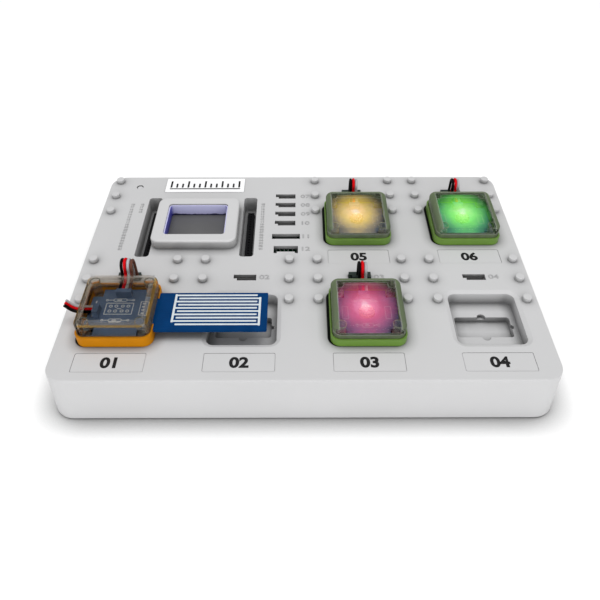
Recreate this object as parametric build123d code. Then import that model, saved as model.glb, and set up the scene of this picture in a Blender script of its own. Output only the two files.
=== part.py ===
from build123d import *
import os
from math import pi, radians, tan

# A classroom coding board: a hollow moulded deck with square pockets for clip-in modules,
# a display, header trenches, ports and building studs. Origin: bottom centre, on the table.
# X runs to the right, Y to the back, Z up. All sizes are in millimetres.

# Grid of cells: each holds a pocket, a port, a number label and studs.
# Four columns stand in the front row, and the back row has the two on the right.
cell_pitch_x = 64.0
cell_pitch_y = 78.0
column_count = 4
side_margin = 30.0
front_margin = 41.4
back_margin = 50.6

# Deck outline, which follows from the grid and its margins
deck_length = (column_count - 1) * cell_pitch_x + 2 * side_margin
deck_depth = front_margin + cell_pitch_y + back_margin
deck_corner_radius = 9.5
deck_flare = 2.0
foot_height = 1.0
shell_height = 28.0
wall = 2.4
top_thickness = 2.4
deck_z = foot_height + shell_height
plate_underside = deck_z - top_thickness

# Cell centres
front_row_y = front_margin - deck_depth / 2
back_row_y = front_row_y + cell_pitch_y
cell_columns = [(i - (column_count - 1) / 2) * cell_pitch_x for i in range(column_count)]
cells = [(x, front_row_y) for x in cell_columns] + [(x, back_row_y) for x in cell_columns[2:]]
left_middle_x = (cell_columns[0] + cell_columns[1]) / 2
right_middle_x = (cell_columns[2] + cell_columns[3]) / 2

# Studs
stud_radius = 2.4
stud_height = 2.6
stud_side_offset = 24.0
stud_first_row = 12.6
stud_pitch = 16.0
stud_rows = 3
stud_edge_round = 0.35
deck_edge_round = 0.8

# Module pocket
mouth_width = 40.4
pocket_width = 36.0
pocket_corner = 4.0
bevel_depth = 1.1
pocket_depth = 8.0
pocket_wall = 1.8
floor_recess_length = 29.7
floor_recess_width = 14.2
floor_recess_depth = 3.7
recess_corner = 1.5
finger_notch_radius = 2.3
side_notch_radius = 1.4
notch_rise = 1.8

# Number label recess in front of each pocket
label_length = 35.4
label_width = 11.7
label_depth = 0.4
label_offset_y = -30.0
label_corner = 0.8

# Keyed port: slot in the deck, socket below it
port_length = 12.6
port_width = 4.6
key_step_x = 1.9
key_step_y = 1.6
port_offset = (-0.7, 30.5)
socket_wall = 1.0
socket_gap = 0.2
socket_floor_depth = 10.0
pin_size = 0.64
pin_pitch = 2.54
pins_per_port = 4
pin_height = 5.0
pin_shift = 0.4
side_port_from_trench = 22.2
side_port_from_row = 28.55
side_port_pitch = 9.15
side_port_count = 4

# Slots for the small headers beside the side ports
serial_slot_length = 16.7
serial_slot_width = 4.6
serial_slot_shift_x = 0.7
serial_slot_from_row = -11.65
expansion_slot_length = 14.2
expansion_slot_width = 5.0
expansion_slot_shift_x = 0.75
expansion_slot_from_row = -23.0
expansion_foot_length = 1.8
expansion_foot_width = 1.4

# Header trenches on both sides of the display
trench_length = 56.8
trench_width = 8.3
trench_corner = 2.0
trench_wall = 1.4
trench_floor_depth = 10.0
trench_floor_thickness = 1.2
trench_shift_y = 0.55
left_trench_offset = 29.5
right_trench_offset = 31.2
header_width = 4.0
header_length = 46.0
header_height = 8.5
header_pins = 18
header_hole = 1.0
header_hole_depth = 6.0
header_gap = 0.2

# Display, between the two left columns
display_shift_x = -0.35
display_shift_y = -1.95
bezel_length = 50.1
bezel_width = 42.3
bezel_height = 6.0
bezel_corner = 5.0
bezel_edge_round = 1.2
window_length = 35.0
window_width = 28.0
window_corner = 1.5
bezel_skirt_depth = 2.0
bezel_skirt_margin = 3.2
cutout_gap = 0.5
cutout_corner = 2.0
lining_thickness = 0.7
lining_drop = 1.0
screen_margin = 1.2
screen_thickness = 1.5
display_board_margin = 4.0
board_thickness = 1.6
stake_radius = 1.0
stake_gap = 0.1
stake_inset = 1.9
stake_length = 3.6
display_header_length = 11.0

# Main board and what stands on it
main_board_z = 12.5
board_side_margin = 14.0
board_end_margin = 6.0
main_board_length = deck_length - 2 * board_side_margin
main_board_depth = deck_depth - 2 * board_end_margin
main_board_corner = 3.0
board_boss_gap = 1.0
chip_side = 14.0
chip_height = 1.4
chip_shift_x = 0.35
chip_shift_y = -2.45
capacitor_radius = 3.15
capacitor_height = 7.0
capacitor_offsets = [-18.5, -10.5, 21.5]
capacitor_inset = 17.0
pin_header_base = 2.5
pin_header_width = 2.5
pin_header_rise = 8.5
serial_pins = 6
expansion_columns = 5
expansion_rows = 2

# Data and power socket in the back wall
usb_shift_x = 0.85
usb_width = 12.0
usb_height = 10.6
usb_length = 16.0
usb_shell = 0.6
usb_mouth_depth = 9.0
usb_tongue_width = 5.6
usb_tongue_height = 3.2
usb_side = 1.8
usb_tongue_sink = 1.0
usb_recess = 4.6
usb_opening_gap = 0.6

# Reset button
reset_inset_x = 19.4
reset_inset_y = 11.5
reset_hole_radius = 2.2
reset_cap_radius = 1.85
reset_cap_sink = 0.5
reset_flange_radius = 3.0
reset_flange_height = 0.9
reset_stem_radius = 1.5
reset_travel = 0.5
reset_play = 0.1
switch_side = 6.0
switch_height = 3.6
switch_bore_depth = 1.6
plunger_radius = 1.7
plunger_height = 5.0
reset_edge_round = 0.3

# Bottom plate, feet and screws
bottom_gap = 0.25
bottom_thickness = 2.4
pad_height = 2.0
pad_radius = 5.2
boss_radius = 4.0
boss_hole_radius = 1.5
boss_hole_length = 14.0
screw_head_radius = 2.9
screw_head_height = 1.8
screw_head_gap = 0.3
screw_thread_radius = 1.45
screw_length = 13.0
board_screw_length = 6.0
case_screw_inset = 8.0
standoff_radius = 3.2
board_screw_inset_x = 4.0
board_screw_inset_y = 7.0
board_screw_from_row = 44.6
board_screw_shift_x = -9.05
foot_radius = 7.0
foot_sink = 1.0
foot_gap = 0.2
foot_inset_x = 22.0
foot_inset_y = 19.0
screw_slot_length = 3.4
screw_slot_width = 0.8
screw_slot_depth = 1.0

# Title label
title_length = 51.3
title_width = 14.9
title_thickness = 0.25
title_shift_x = 0.5
title_inset = 9.85

# Clip-in modules
module_shift = 0.7
seat_gap = 0.3
under_width = 39.8
under_wall = 1.6
frame_width = 38.6
frame_depth = 39.8
frame_corner = 5.0
frame_wall = 1.9
lid_width = 37.0
lid_corner = 4.4
lid_round = 2.6
lid_wall = 1.4
lid_top = 1.6
lid_seat = 1.0
lid_gap = 0.2
post_radius = 2.4
post_inset = 4.4
module_board_inset = 2.2
module_board_width = lid_width - 2 * module_board_inset
module_board_notch = 5.2
board_ledge = 1.0
led_frame_height = 4.3
led_lid_top = 12.0
led_board_top = 3.3
rain_frame_height = 6.3
rain_lid_top = 14.4
rain_board_top = 4.4
led_radius = 3.5
led_flange_radius = 4.2
led_flange_height = 1.0
led_barrel_height = 1.6
terminal_depth = 3.0
terminal_cover = 1.2
terminal_inset = 3.2
terminal_margin = 0.6

# Leads and plugs
lead_diameter = 1.6
lead_pitch = 1.75
plug_gap = 0.2
plug_rise = 2.2
plug_depth = 9.0
plug_hole = 0.9
plug_hole_depth = 4.6
lead_clearance = 0.2
led_first_lead = -1.2
led_lead_count = 3
rain_first_lead = -0.9
rain_lead_count = 4
led_crowns = [13.3, 13.5, 13.0]
rain_crowns = [15.9, 16.1, 15.8, 15.3]
notch_gap = 0.3

# Sensing plate that the rain module carries, and its short tail of three wires
plate_length = 57.1
plate_width = 26.4
plate_offset_y = -0.9
plate_thickness = 1.6
plate_corner = 0.8
plate_gap = 0.1
tab_width = 18.0
tab_overlap = 1.4
tail_first_y = -2.7
tail_count = 3


def block(width, depth, low_z, high_z, radius=0.0, centre=(0.0, 0.0)):
    """Upright block with rounded vertical edges."""
    outline = RectangleRounded(width, depth, radius) if radius else Rectangle(width, depth)
    return extrude(Pos(centre[0], centre[1], low_z) * outline, amount=high_z - low_z)


def rod(radius, low_z, high_z, centre=(0.0, 0.0)):
    """Upright cylinder."""
    return Pos(centre[0], centre[1], (low_z + high_z) / 2) * Cylinder(radius, high_z - low_z)


def together(shapes):
    """Separate solids that share one node."""
    solids = []
    for shape in shapes:
        solids += shape.solids()
    return Compound(children=solids)


def deck_block(low_z, high_z, inset):
    """Slice of the deck's outer form, drawn in by an inset. The walls flare out downwards."""
    faces = []
    for z in (low_z, high_z):
        growth = deck_flare * (deck_z - z) / shell_height - inset
        outline = RectangleRounded(deck_length + 2 * growth, deck_depth + 2 * growth, deck_corner_radius + growth)
        faces.append(Pos(0, 0, z) * outline)
    return loft(faces, ruled=True)


def port_block(centre, low_z, high_z, gap=0.0):
    """Keyed port shape, narrower by a gap all round. The front left corner is cut out as the key."""
    left = -port_length / 2 + gap
    right = port_length / 2 - gap
    front = -port_width / 2 + gap
    back = port_width / 2 - gap
    step = (left + key_step_x, front + key_step_y)
    corners = [(left, back), (left, step[1]), step, (step[0], front), (right, front), (right, back)]
    outline = Polygon(*corners, align=None)
    return extrude(Pos(centre[0], centre[1], low_z) * outline, amount=high_z - low_z, dir=(0, 0, 1))


# Places that several pieces share
cell_ports = [(x + port_offset[0], y + port_offset[1]) for x, y in cells]
display_centre = (left_middle_x + display_shift_x, back_row_y + display_shift_y)
trench_y = display_centre[1] + trench_shift_y
trench_centres = [(display_centre[0] - left_trench_offset, trench_y),
                  (display_centre[0] + right_trench_offset, trench_y)]
side_port_x = trench_centres[1][0] + side_port_from_trench
side_port_back_y = back_row_y + side_port_from_row
side_ports = [(side_port_x, side_port_back_y - i * side_port_pitch) for i in range(side_port_count)]
serial_slot_centre = (side_port_x + serial_slot_shift_x, back_row_y + serial_slot_from_row)
expansion_slot_centre = (side_port_x + expansion_slot_shift_x, back_row_y + expansion_slot_from_row)
title_centre = (display_centre[0] + title_shift_x, deck_depth / 2 - title_inset)
reset_centre = (reset_inset_x - deck_length / 2, deck_depth / 2 - reset_inset_y)
usb_x = display_centre[0] + usb_shift_x
chip_centre = (display_centre[0] + chip_shift_x, display_centre[1] + chip_shift_y)
capacitor_centres = [(usb_x + x, deck_depth / 2 - capacitor_inset) for x in capacitor_offsets]

# Places of the screws and feet
screw_x = deck_length / 2 - case_screw_inset
screw_y = deck_depth / 2 - case_screw_inset
case_screw_spots = [(x, y) for x in (-screw_x, screw_x) for y in (-screw_y, screw_y)]
case_screw_spots += [(0.0, -screw_y), (0.0, screw_y)]
case_screw_spots += [(left_middle_x, front_row_y), (right_middle_x, front_row_y)]
board_screw_x = main_board_length / 2 - board_screw_inset_x
board_screw_y = main_board_depth / 2 - board_screw_inset_y
board_screw_spots = [(x, front_row_y + board_screw_from_row) for x in (-board_screw_x, board_screw_x)]
board_screw_spots += [(left_middle_x, -board_screw_y), (right_middle_x, -board_screw_y)]
board_screw_spots += [(right_middle_x, board_screw_y), (side_port_x + board_screw_shift_x, board_screw_y)]
foot_x = deck_length / 2 - foot_inset_x
foot_y = deck_depth / 2 - foot_inset_y
foot_spots = [(x, y) for x in (-foot_x, 0.0, foot_x) for y in (-foot_y, foot_y)]

# Levels
plate_top = foot_height + bottom_thickness
boss_z = plate_top + pad_height
socket_top = plate_underside - socket_gap
socket_floor = deck_z - socket_floor_depth
trench_floor = deck_z - trench_floor_depth
pocket_floor = deck_z - pocket_depth
recess_floor = pocket_floor - floor_recess_depth
screen_top = deck_z - bezel_skirt_depth
display_board_top = screen_top - screen_thickness
usb_face_y = deck_depth / 2 - usb_recess + deck_flare / 2
overlap = 0.5


def stud_places():
    """Studs stand beside every cell, and in one more column by the reset button."""
    columns = [(x + side * stud_side_offset, y) for x, y in cells for side in (-1, 1)]
    columns.append((cell_columns[0] - stud_side_offset, back_row_y))
    return [(x, y + stud_first_row + row * stud_pitch) for x, y in columns for row in range(stud_rows)]


def make_stud():
    stud = rod(stud_radius, deck_z - overlap, deck_z + stud_height)
    return fillet(stud.edges().group_by(Axis.Z)[-1], stud_edge_round)


def make_top_cover():
    cover = deck_block(foot_height, deck_z, 0.0)
    cover = fillet(cover.edges().group_by(Axis.Z)[-1], deck_edge_round)
    cover -= deck_block(foot_height - wall, plate_underside, wall)

    # Material that is added under and on the deck plate
    added = []
    well_width = pocket_width + 2 * pocket_wall
    recess_length = floor_recess_length + 2 * pocket_wall
    recess_width = floor_recess_width + 2 * pocket_wall
    for place in cells:
        added.append(block(well_width, well_width, pocket_floor - pocket_wall, plate_underside + overlap,
                           pocket_corner + pocket_wall, place))
        added.append(block(recess_length, recess_width, recess_floor - pocket_wall, pocket_floor - overlap,
                           recess_corner, place))
    for place in trench_centres:
        added.append(block(trench_width + 2 * trench_wall, trench_length + 2 * trench_wall,
                           trench_floor - trench_floor_thickness, plate_underside + overlap,
                           trench_corner + trench_wall, place))
    added += [rod(boss_radius, boss_z, plate_underside + overlap, place) for place in case_screw_spots]
    stud = make_stud()
    added += [Pos(x, y, 0) * stud for x, y in stud_places()]
    cover += added

    # Pockets with their bevelled mouths, floor recesses and number label recesses
    cuts = []
    mouth_corner = pocket_corner + (mouth_width - pocket_width) / 2
    bevel = loft([Pos(0, 0, deck_z - bevel_depth) * RectangleRounded(pocket_width, pocket_width, pocket_corner),
                  Pos(0, 0, deck_z) * RectangleRounded(mouth_width, mouth_width, mouth_corner)], ruled=True)
    notch_floor = recess_floor + notch_rise
    for x, y in cells:
        cuts.append(block(pocket_width, pocket_width, pocket_floor, deck_z, pocket_corner, (x, y)))
        cuts.append(Pos(x, y, 0) * bevel)
        cuts.append(block(floor_recess_length, floor_recess_width, recess_floor, pocket_floor + overlap,
                          recess_corner, (x, y)))
        for side in (-1, 1):
            notch_centre = (x, y + side * floor_recess_width / 2)
            cuts.append(rod(finger_notch_radius, notch_floor, pocket_floor + overlap, notch_centre))
        side_centre = (x + floor_recess_length / 2, y)
        cuts.append(rod(side_notch_radius, notch_floor, pocket_floor + overlap, side_centre))
        cuts.append(block(label_length, label_width, deck_z - label_depth, deck_z + overlap, label_corner,
                          (x, y + label_offset_y)))

    # Slots and holes through the deck plate and the back wall
    low = plate_underside - overlap
    high = deck_z + overlap
    cuts += [port_block(place, low, high) for place in cell_ports + side_ports]
    cuts.append(block(serial_slot_length, serial_slot_width, low, high, 0.0, serial_slot_centre))
    cuts.append(block(expansion_slot_length, expansion_slot_width, low, high, 0.0, expansion_slot_centre))
    for side in (-1, 1):
        notch_x = expansion_slot_centre[0] + side * (expansion_slot_length - expansion_foot_length) / 2
        notch_y = expansion_slot_centre[1] - (expansion_slot_width + expansion_foot_width) / 2
        cuts.append(block(expansion_foot_length, expansion_foot_width + overlap, low, high, 0.0,
                          (notch_x, notch_y + overlap / 2)))
    for place in trench_centres:
        cuts.append(block(trench_width, trench_length, trench_floor, high, trench_corner, place))
        cuts.append(block(header_width + 2 * header_gap, header_length + 2 * header_gap,
                          trench_floor - 2 * trench_floor_thickness, trench_floor + overlap, 0.0, place))
    cutout_extra = 2 * (bezel_skirt_margin + cutout_gap)
    cuts.append(block(window_length + cutout_extra, window_width + cutout_extra, low, high, cutout_corner,
                      display_centre))
    cuts.append(rod(reset_hole_radius, low, high, reset_centre))
    cuts += [rod(boss_hole_radius, boss_z - overlap, boss_z + boss_hole_length, place)
             for place in case_screw_spots]
    cuts.append(Pos(usb_x, deck_depth / 2, main_board_z + usb_height / 2) * Box(
        usb_width + 2 * usb_opening_gap, 4 * wall, usb_height + 2 * usb_opening_gap))
    return cover - cuts


def make_bottom_plate():
    plate = deck_block(foot_height, plate_top, wall + bottom_gap)
    head_seat = foot_height + screw_head_height + screw_head_gap
    for place in case_screw_spots:
        plate += rod(pad_radius, plate_top - overlap, boss_z, place)
    for place in board_screw_spots:
        plate += rod(standoff_radius, plate_top - overlap, main_board_z - board_thickness, place)
    for place in case_screw_spots:
        plate -= rod(boss_hole_radius, foot_height - overlap, boss_z + overlap, place)
        plate -= rod(screw_head_radius + screw_head_gap, foot_height - overlap, head_seat, place)
    for place in board_screw_spots:
        plate -= rod(boss_hole_radius, plate_top, main_board_z + overlap, place)
    for place in foot_spots:
        plate -= rod(foot_radius + foot_gap, foot_height - overlap, foot_height + foot_sink, place)
    return plate


def make_screw(seat_z, length, points_up):
    """Pan head screw with a driving slot. Its head meets the seat."""
    screw = rod(screw_head_radius, 0, screw_head_height)
    screw += rod(screw_thread_radius, -length, overlap)
    screw -= Pos(0, 0, screw_head_height) * Box(screw_slot_length, screw_slot_width, 2 * screw_slot_depth)
    screw -= Pos(0, 0, screw_head_height) * Box(screw_slot_width, screw_slot_length, 2 * screw_slot_depth)
    if points_up:
        screw = Rot(180, 0, 0) * screw
    return Pos(0, 0, seat_z) * screw


def make_case_screws():
    screw = make_screw(foot_height + screw_head_height + screw_head_gap, screw_length, True)
    return together(Pos(x, y, 0) * screw for x, y in case_screw_spots)


def make_board_screws():
    screw = make_screw(main_board_z, board_screw_length, False)
    return together(Pos(x, y, 0) * screw for x, y in board_screw_spots)


def make_feet():
    return together(rod(foot_radius, 0.0, foot_height + foot_sink, place) for place in foot_spots)


def make_main_board():
    board = block(main_board_length, main_board_depth, main_board_z - board_thickness, main_board_z,
                  main_board_corner)
    for place in case_screw_spots:
        board -= rod(boss_radius + board_boss_gap, 0, deck_z, place)
    for place in board_screw_spots:
        board -= rod(boss_hole_radius, 0, deck_z, place)
    return board


def make_socket(place):
    socket = block(port_length + 2 * socket_wall, port_width + 2 * socket_wall, main_board_z, socket_top,
                   0.0, place)
    return socket - port_block(place, socket_floor, socket_top + overlap)


def pin_places(place, count):
    """Pins in a row along X, centred a little to the right of the key."""
    return [(place[0] + (i - (count - 1) / 2) * pin_pitch, place[1]) for i in range(count)]


def make_port_pins():
    pins = []
    for x, y in cell_ports + side_ports:
        for spot in pin_places((x + pin_shift, y), pins_per_port):
            pins.append(block(pin_size, pin_size, socket_floor, socket_floor + pin_height, 0.0, spot))
    return together(pins)


def make_header(place):
    header = block(header_width, header_length, main_board_z, main_board_z + header_height, 0.0, place)
    for i in range(header_pins):
        y = place[1] + (i - (header_pins - 1) / 2) * pin_pitch
        top = main_board_z + header_height
        header -= block(header_hole, header_hole, top - header_hole_depth, top + overlap, 0.0, (place[0], y))
    return header


def make_pin_header(place, columns, rows):
    """Low strip of bare pins that stands on the main board."""
    base_top = main_board_z + pin_header_base
    pieces = [block(columns * pin_pitch, rows * pin_header_width, main_board_z, base_top, 0.0, place)]
    for row in range(rows):
        y = place[1] + (row - (rows - 1) / 2) * pin_header_width
        for spot in pin_places((place[0], y), columns):
            pieces.append(block(pin_size, pin_size, base_top, main_board_z + pin_header_rise, 0.0, spot))
    return together(pieces)


def make_bezel():
    bezel = block(bezel_length, bezel_width, deck_z, deck_z + bezel_height, bezel_corner)
    bezel = fillet(bezel.edges().group_by(Axis.Z)[-1], bezel_edge_round)
    bezel += block(window_length + 2 * bezel_skirt_margin, window_width + 2 * bezel_skirt_margin,
                   screen_top, deck_z + overlap, cutout_corner - cutout_gap)
    stake_x = window_length / 2 + display_board_margin - stake_inset
    stake_y = window_width / 2 + display_board_margin - stake_inset
    for x in (-stake_x, stake_x):
        for y in (-stake_y, stake_y):
            bezel += rod(stake_radius, screen_top - stake_length, screen_top + overlap, (x, y))
    bezel -= block(window_length + 2 * lining_thickness, window_width + 2 * lining_thickness,
                   screen_top - overlap, deck_z + bezel_height + overlap, window_corner + lining_thickness)
    return Pos(*display_centre, 0) * bezel


def make_lining():
    lining = block(window_length + 2 * lining_thickness, window_width + 2 * lining_thickness,
                   screen_top, deck_z + bezel_height - lining_drop, window_corner + lining_thickness)
    lining -= block(window_length, window_width, screen_top - overlap, deck_z + bezel_height, window_corner)
    return Pos(*display_centre, 0) * lining


def make_screen():
    return block(window_length + 2 * screen_margin, window_width + 2 * screen_margin, display_board_top,
                 screen_top, window_corner, display_centre)


def make_display_board():
    length = window_length + 2 * display_board_margin
    width = window_width + 2 * display_board_margin
    board = block(length, width, display_board_top - board_thickness, display_board_top, window_corner)
    for x in (-1, 1):
        for y in (-1, 1):
            hole = (x * (length / 2 - stake_inset), y * (width / 2 - stake_inset))
            board -= rod(stake_radius + stake_gap, 0, deck_z, hole)
    return Pos(*display_centre, 0) * board


def make_display_header():
    x = display_centre[0] - window_length / 2
    return block(pin_header_width, display_header_length, main_board_z,
                 display_board_top - board_thickness, 0.0, (x, display_centre[1]))


def make_usb_socket():
    """Metal shell with a mouth that faces the back, and a tongue inside it."""
    middle_z = main_board_z + usb_height / 2
    body = Pos(usb_x, usb_face_y - usb_length / 2, middle_z) * Box(usb_width, usb_length, usb_height)
    mouth_width = usb_width - 2 * usb_side
    mouth_height = usb_height - 2 * usb_shell
    mouth_y = usb_face_y - usb_mouth_depth / 2
    body -= Pos(usb_x, mouth_y, middle_z) * Box(mouth_width, usb_mouth_depth, mouth_height)
    tongue_y = usb_face_y - (usb_mouth_depth + usb_tongue_sink) / 2
    tongue_length = usb_mouth_depth - usb_tongue_sink + overlap
    body += Pos(usb_x, tongue_y - overlap / 2, middle_z) * Box(usb_tongue_width, tongue_length, usb_tongue_height)
    return body


def make_capacitors():
    top = main_board_z + capacitor_height
    return together(rod(capacitor_radius, main_board_z, top, place) for place in capacitor_centres)


def make_chip():
    return block(chip_side, chip_side, main_board_z, main_board_z + chip_height, 0.0, chip_centre)


def make_title_label():
    return block(title_length, title_width, deck_z, deck_z + title_thickness, label_corner, title_centre)


# Reset button: a cap held under the plate by a flange, on the plunger of a small switch
switch_top = main_board_z + switch_height
plunger_top = main_board_z + plunger_height


def make_reset_switch():
    body = block(switch_side, switch_side, main_board_z, switch_top, 0.0, reset_centre)
    bore_radius = plunger_radius + reset_play
    return body - rod(bore_radius, switch_top - switch_bore_depth, switch_top + overlap, reset_centre)


def make_reset_plunger():
    low = switch_top - switch_bore_depth + reset_travel + reset_play
    return rod(plunger_radius, low, plunger_top, reset_centre)


def make_reset_cap():
    flange_top = plate_underside - reset_play
    cap = rod(reset_cap_radius, flange_top - overlap, deck_z - reset_cap_sink)
    cap = fillet(cap.edges().group_by(Axis.Z)[-1], reset_edge_round)
    cap += rod(reset_flange_radius, flange_top - reset_flange_height, flange_top)
    cap += rod(reset_stem_radius, plunger_top, flange_top - overlap)
    return Pos(*reset_centre, 0) * cap


def module_centre(cell):
    return (cell[0] + module_shift, cell[1])


def make_under_case(cell):
    """Dark case that fills the pocket, bevelled like its mouth and hollow inside."""
    seat_width = pocket_width - 2 * seat_gap
    seat_corner = pocket_corner - seat_gap
    rim_corner = seat_corner + (under_width - seat_width) / 2
    case = block(seat_width, seat_width, pocket_floor, deck_z - bevel_depth, seat_corner)
    case += loft([Pos(0, 0, deck_z - bevel_depth) * RectangleRounded(seat_width, seat_width, seat_corner),
                  Pos(0, 0, deck_z) * RectangleRounded(under_width, under_width, rim_corner)], ruled=True)
    inner_width = seat_width - 2 * under_wall
    case -= block(inner_width, inner_width, pocket_floor + under_wall, deck_z + overlap,
                  seat_corner - under_wall)
    return Pos(*cell, 0) * case


def lead_places(cell, first, count):
    """X of each lead of a module. They run side by side from the module to its port."""
    return [cell[0] + port_offset[0] + first + i * lead_pitch for i in range(count)]


def lead_notch(cell, leads, low_z, high_z):
    """Cut for the leads through the back wall of a lid."""
    left = leads[0] - lead_diameter / 2 - notch_gap
    right = leads[-1] + lead_diameter / 2 + notch_gap
    middle_y = cell[1] + lid_width / 2
    return block(right - left, 4 * lid_wall, low_z, high_z, 0.0, ((left + right) / 2, middle_y))


def make_frame(cell, height, board_top):
    centre = module_centre(cell)
    top = deck_z + height
    opening = lid_width - 2 * lid_wall
    ledge = module_board_width - 2 * board_ledge
    frame = block(frame_width, frame_depth, deck_z, top, frame_corner, centre)
    frame -= block(lid_width + 2 * lid_gap, lid_width + 2 * lid_gap, top - lid_seat, top + overlap,
                   lid_corner + lid_gap, centre)
    frame -= block(opening, opening, deck_z + board_top - board_thickness, top, lid_corner - lid_wall, centre)
    frame -= block(ledge, ledge, deck_z - overlap, top, lid_corner - lid_wall, centre)
    return frame


def make_lid(cell, frame_height, lid_height, board_top, leads):
    """Clear hood with four corner posts that reach down past the circuit board."""
    low = deck_z + frame_height - lid_seat
    high = deck_z + lid_height
    lid = block(lid_width, lid_width, low, high, lid_corner)
    lid = fillet(lid.edges().group_by(Axis.Z)[-1], lid_round)
    inner = lid_width - 2 * lid_wall
    lid -= block(inner, inner, low - overlap, high - lid_top, lid_corner - lid_wall)
    post_spot = lid_width / 2 - post_inset
    for x in (-post_spot, post_spot):
        for y in (-post_spot, post_spot):
            lid += rod(post_radius, deck_z + board_top - board_thickness, high - lid_top + overlap, (x, y))
    lid = Pos(*module_centre(cell), 0) * lid
    exit_z = deck_z + frame_height + lead_clearance + lead_diameter
    return lid - lead_notch(cell, leads, low - overlap, exit_z + notch_gap)


def make_terminal(centre, span, board_top, exit_z):
    """Solder block that the leads start from. Its outer face looks along +Y."""
    low = deck_z + board_top
    outer = module_board_width / 2 - terminal_inset
    terminal = block(span, terminal_depth, low, exit_z + terminal_cover, 0.0, (0, outer - terminal_depth / 2))
    return Pos(centre[0], centre[1], 0) * terminal


def make_module_board(cell, frame_height, board_top, leads):
    centre = module_centre(cell)
    top = deck_z + board_top
    board = block(module_board_width, module_board_width, top - board_thickness, top, 0.0, centre)
    corner = (module_board_width - module_board_notch) / 2
    for x in (-corner, corner):
        for y in (-corner, corner):
            board -= block(module_board_notch, module_board_notch, 0, 2 * deck_z, 0.0,
                           (centre[0] + x, centre[1] + y))
    span = leads[-1] - leads[0] + lead_diameter + 2 * terminal_margin
    exit_z = deck_z + frame_height + lead_clearance + lead_diameter / 2
    middle = ((leads[0] + leads[-1]) / 2, centre[1])
    return together([board, make_terminal(middle, span, board_top, exit_z)])


def make_led(cell, board_top):
    low = deck_z + board_top
    barrel_top = low + led_flange_height + led_barrel_height
    led = rod(led_flange_radius, low, low + led_flange_height)
    led += rod(led_radius, low, barrel_top)
    led += Pos(0, 0, barrel_top) * Sphere(led_radius, arc_size1=0)
    return Pos(*module_centre(cell), 0) * led


def make_plug(cell):
    place = (cell[0] + port_offset[0], cell[1] + port_offset[1])
    low = deck_z - plug_depth
    plug = port_block(place, low, deck_z + plug_rise, plug_gap)
    for spot in pin_places((place[0] + pin_shift, place[1]), pins_per_port):
        plug -= block(plug_hole, plug_hole, low - overlap, low + plug_hole_depth, 0.0, spot)
    return plug


def bend_radii(points):
    """Radius at each corner of a lead: as large as its two runs allow."""
    vectors = [Vector(*point) for point in points]
    radii = []
    for before, corner, after in zip(vectors, vectors[1:], vectors[2:]):
        half_turn = radians((corner - before).get_angle(after - corner)) / 2
        shorter = min((corner - before).length, (after - corner).length)
        radii.append(0.45 * shorter / tan(half_turn))
    return radii


def make_lead(points, name):
    """Round wire along a route of straight runs joined by arcs."""
    radii = bend_radii(points)
    path = FilletPolyline(*points, radius=radii)
    direction = Vector(*points[1]) - Vector(*points[0])
    section = Plane(origin=points[0], z_dir=direction) * Circle(lead_diameter / 2)
    tube = sweep(section, path=path)
    expected = pi * (lead_diameter / 2) ** 2 * path.length
    rounded = [round(radius, 1) for radius in radii]
    print(name, "length", round(path.length, 2), "volume ratio", round(tube.volume / expected, 5), "radii", rounded)
    return tube


def lead_route(cell, x, exit_z, crown):
    """Loop of one lead: out of the module's back, over, and down into the plug.

    Each point gives a place behind the middle of the cell and a height. The lead starts at exit_z
    above the deck, and crown lifts the top of the loop.
    """
    start = module_board_width / 2 - terminal_inset
    down = port_offset[1]
    side = [(start, exit_z), (start + 3.8, exit_z), (start + 8.0, exit_z + 0.1),
            (start + 10.1, exit_z + 2.7), (start + 10.4, crown - 2.1), (start + 12.3, crown - 0.1),
            (down - 2.3, crown), (down - 0.2, crown - 2.05), (down, (crown + plug_rise) / 2 - 1.1),
            (down, plug_rise)]
    return [(x, cell[1] + y, deck_z + z) for y, z in side]


def make_leads(cell, frame_height, leads, crowns, name):
    exit_z = frame_height + lead_clearance + lead_diameter / 2
    tubes = []
    for number, (x, crown) in enumerate(zip(leads, crowns), 1):
        tubes.append(make_lead(lead_route(cell, x, exit_z, crown), name + " wire " + str(number)))
    return together(tubes)


def tab_notch(cell, low_z, high_z):
    """Cut through the module's right wall for the plate's tab."""
    x = module_centre(cell)[0] + frame_width / 2
    y = cell[1] + plate_offset_y
    return block(4 * frame_wall, tab_width + 2 * plate_gap, low_z, high_z, 0.0, (x, y))


def tail_places(cell):
    return [cell[1] + tail_first_y + i * lead_pitch for i in range(tail_count)]


def make_rain_frame(cell):
    frame = make_frame(cell, rain_frame_height, rain_board_top)
    return frame - tab_notch(cell, deck_z + rain_board_top - plate_gap, deck_z + rain_frame_height + overlap)


def make_rain_lid(cell, leads):
    lid = make_lid(cell, rain_frame_height, rain_lid_top, rain_board_top, leads)
    tab_top = deck_z + rain_board_top + plate_thickness
    lid -= tab_notch(cell, tab_top - plate_thickness, tab_top + plate_gap)
    ys = tail_places(cell)
    x = module_centre(cell)[0] - lid_width / 2
    low = deck_z + rain_frame_height - lid_seat - overlap
    high = deck_z + rain_frame_height + lead_clearance + lead_diameter + notch_gap
    span = ys[-1] - ys[0] + lead_diameter + 2 * notch_gap
    return lid - block(4 * lid_wall, span, low, high, 0.0, (x, (ys[0] + ys[-1]) / 2))


def make_rain_board(cell, leads):
    board = make_module_board(cell, rain_frame_height, rain_board_top, leads)
    ys = tail_places(cell)
    span = ys[-1] - ys[0] + lead_diameter + 2 * terminal_margin
    exit_z = deck_z + rain_frame_height + lead_clearance + lead_diameter / 2
    side_terminal = Rot(0, 0, 90) * make_terminal((0, 0), span, rain_board_top, exit_z)
    side_terminal = Pos(module_centre(cell)[0], (ys[0] + ys[-1]) / 2, 0) * side_terminal
    return together([board, side_terminal])


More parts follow.
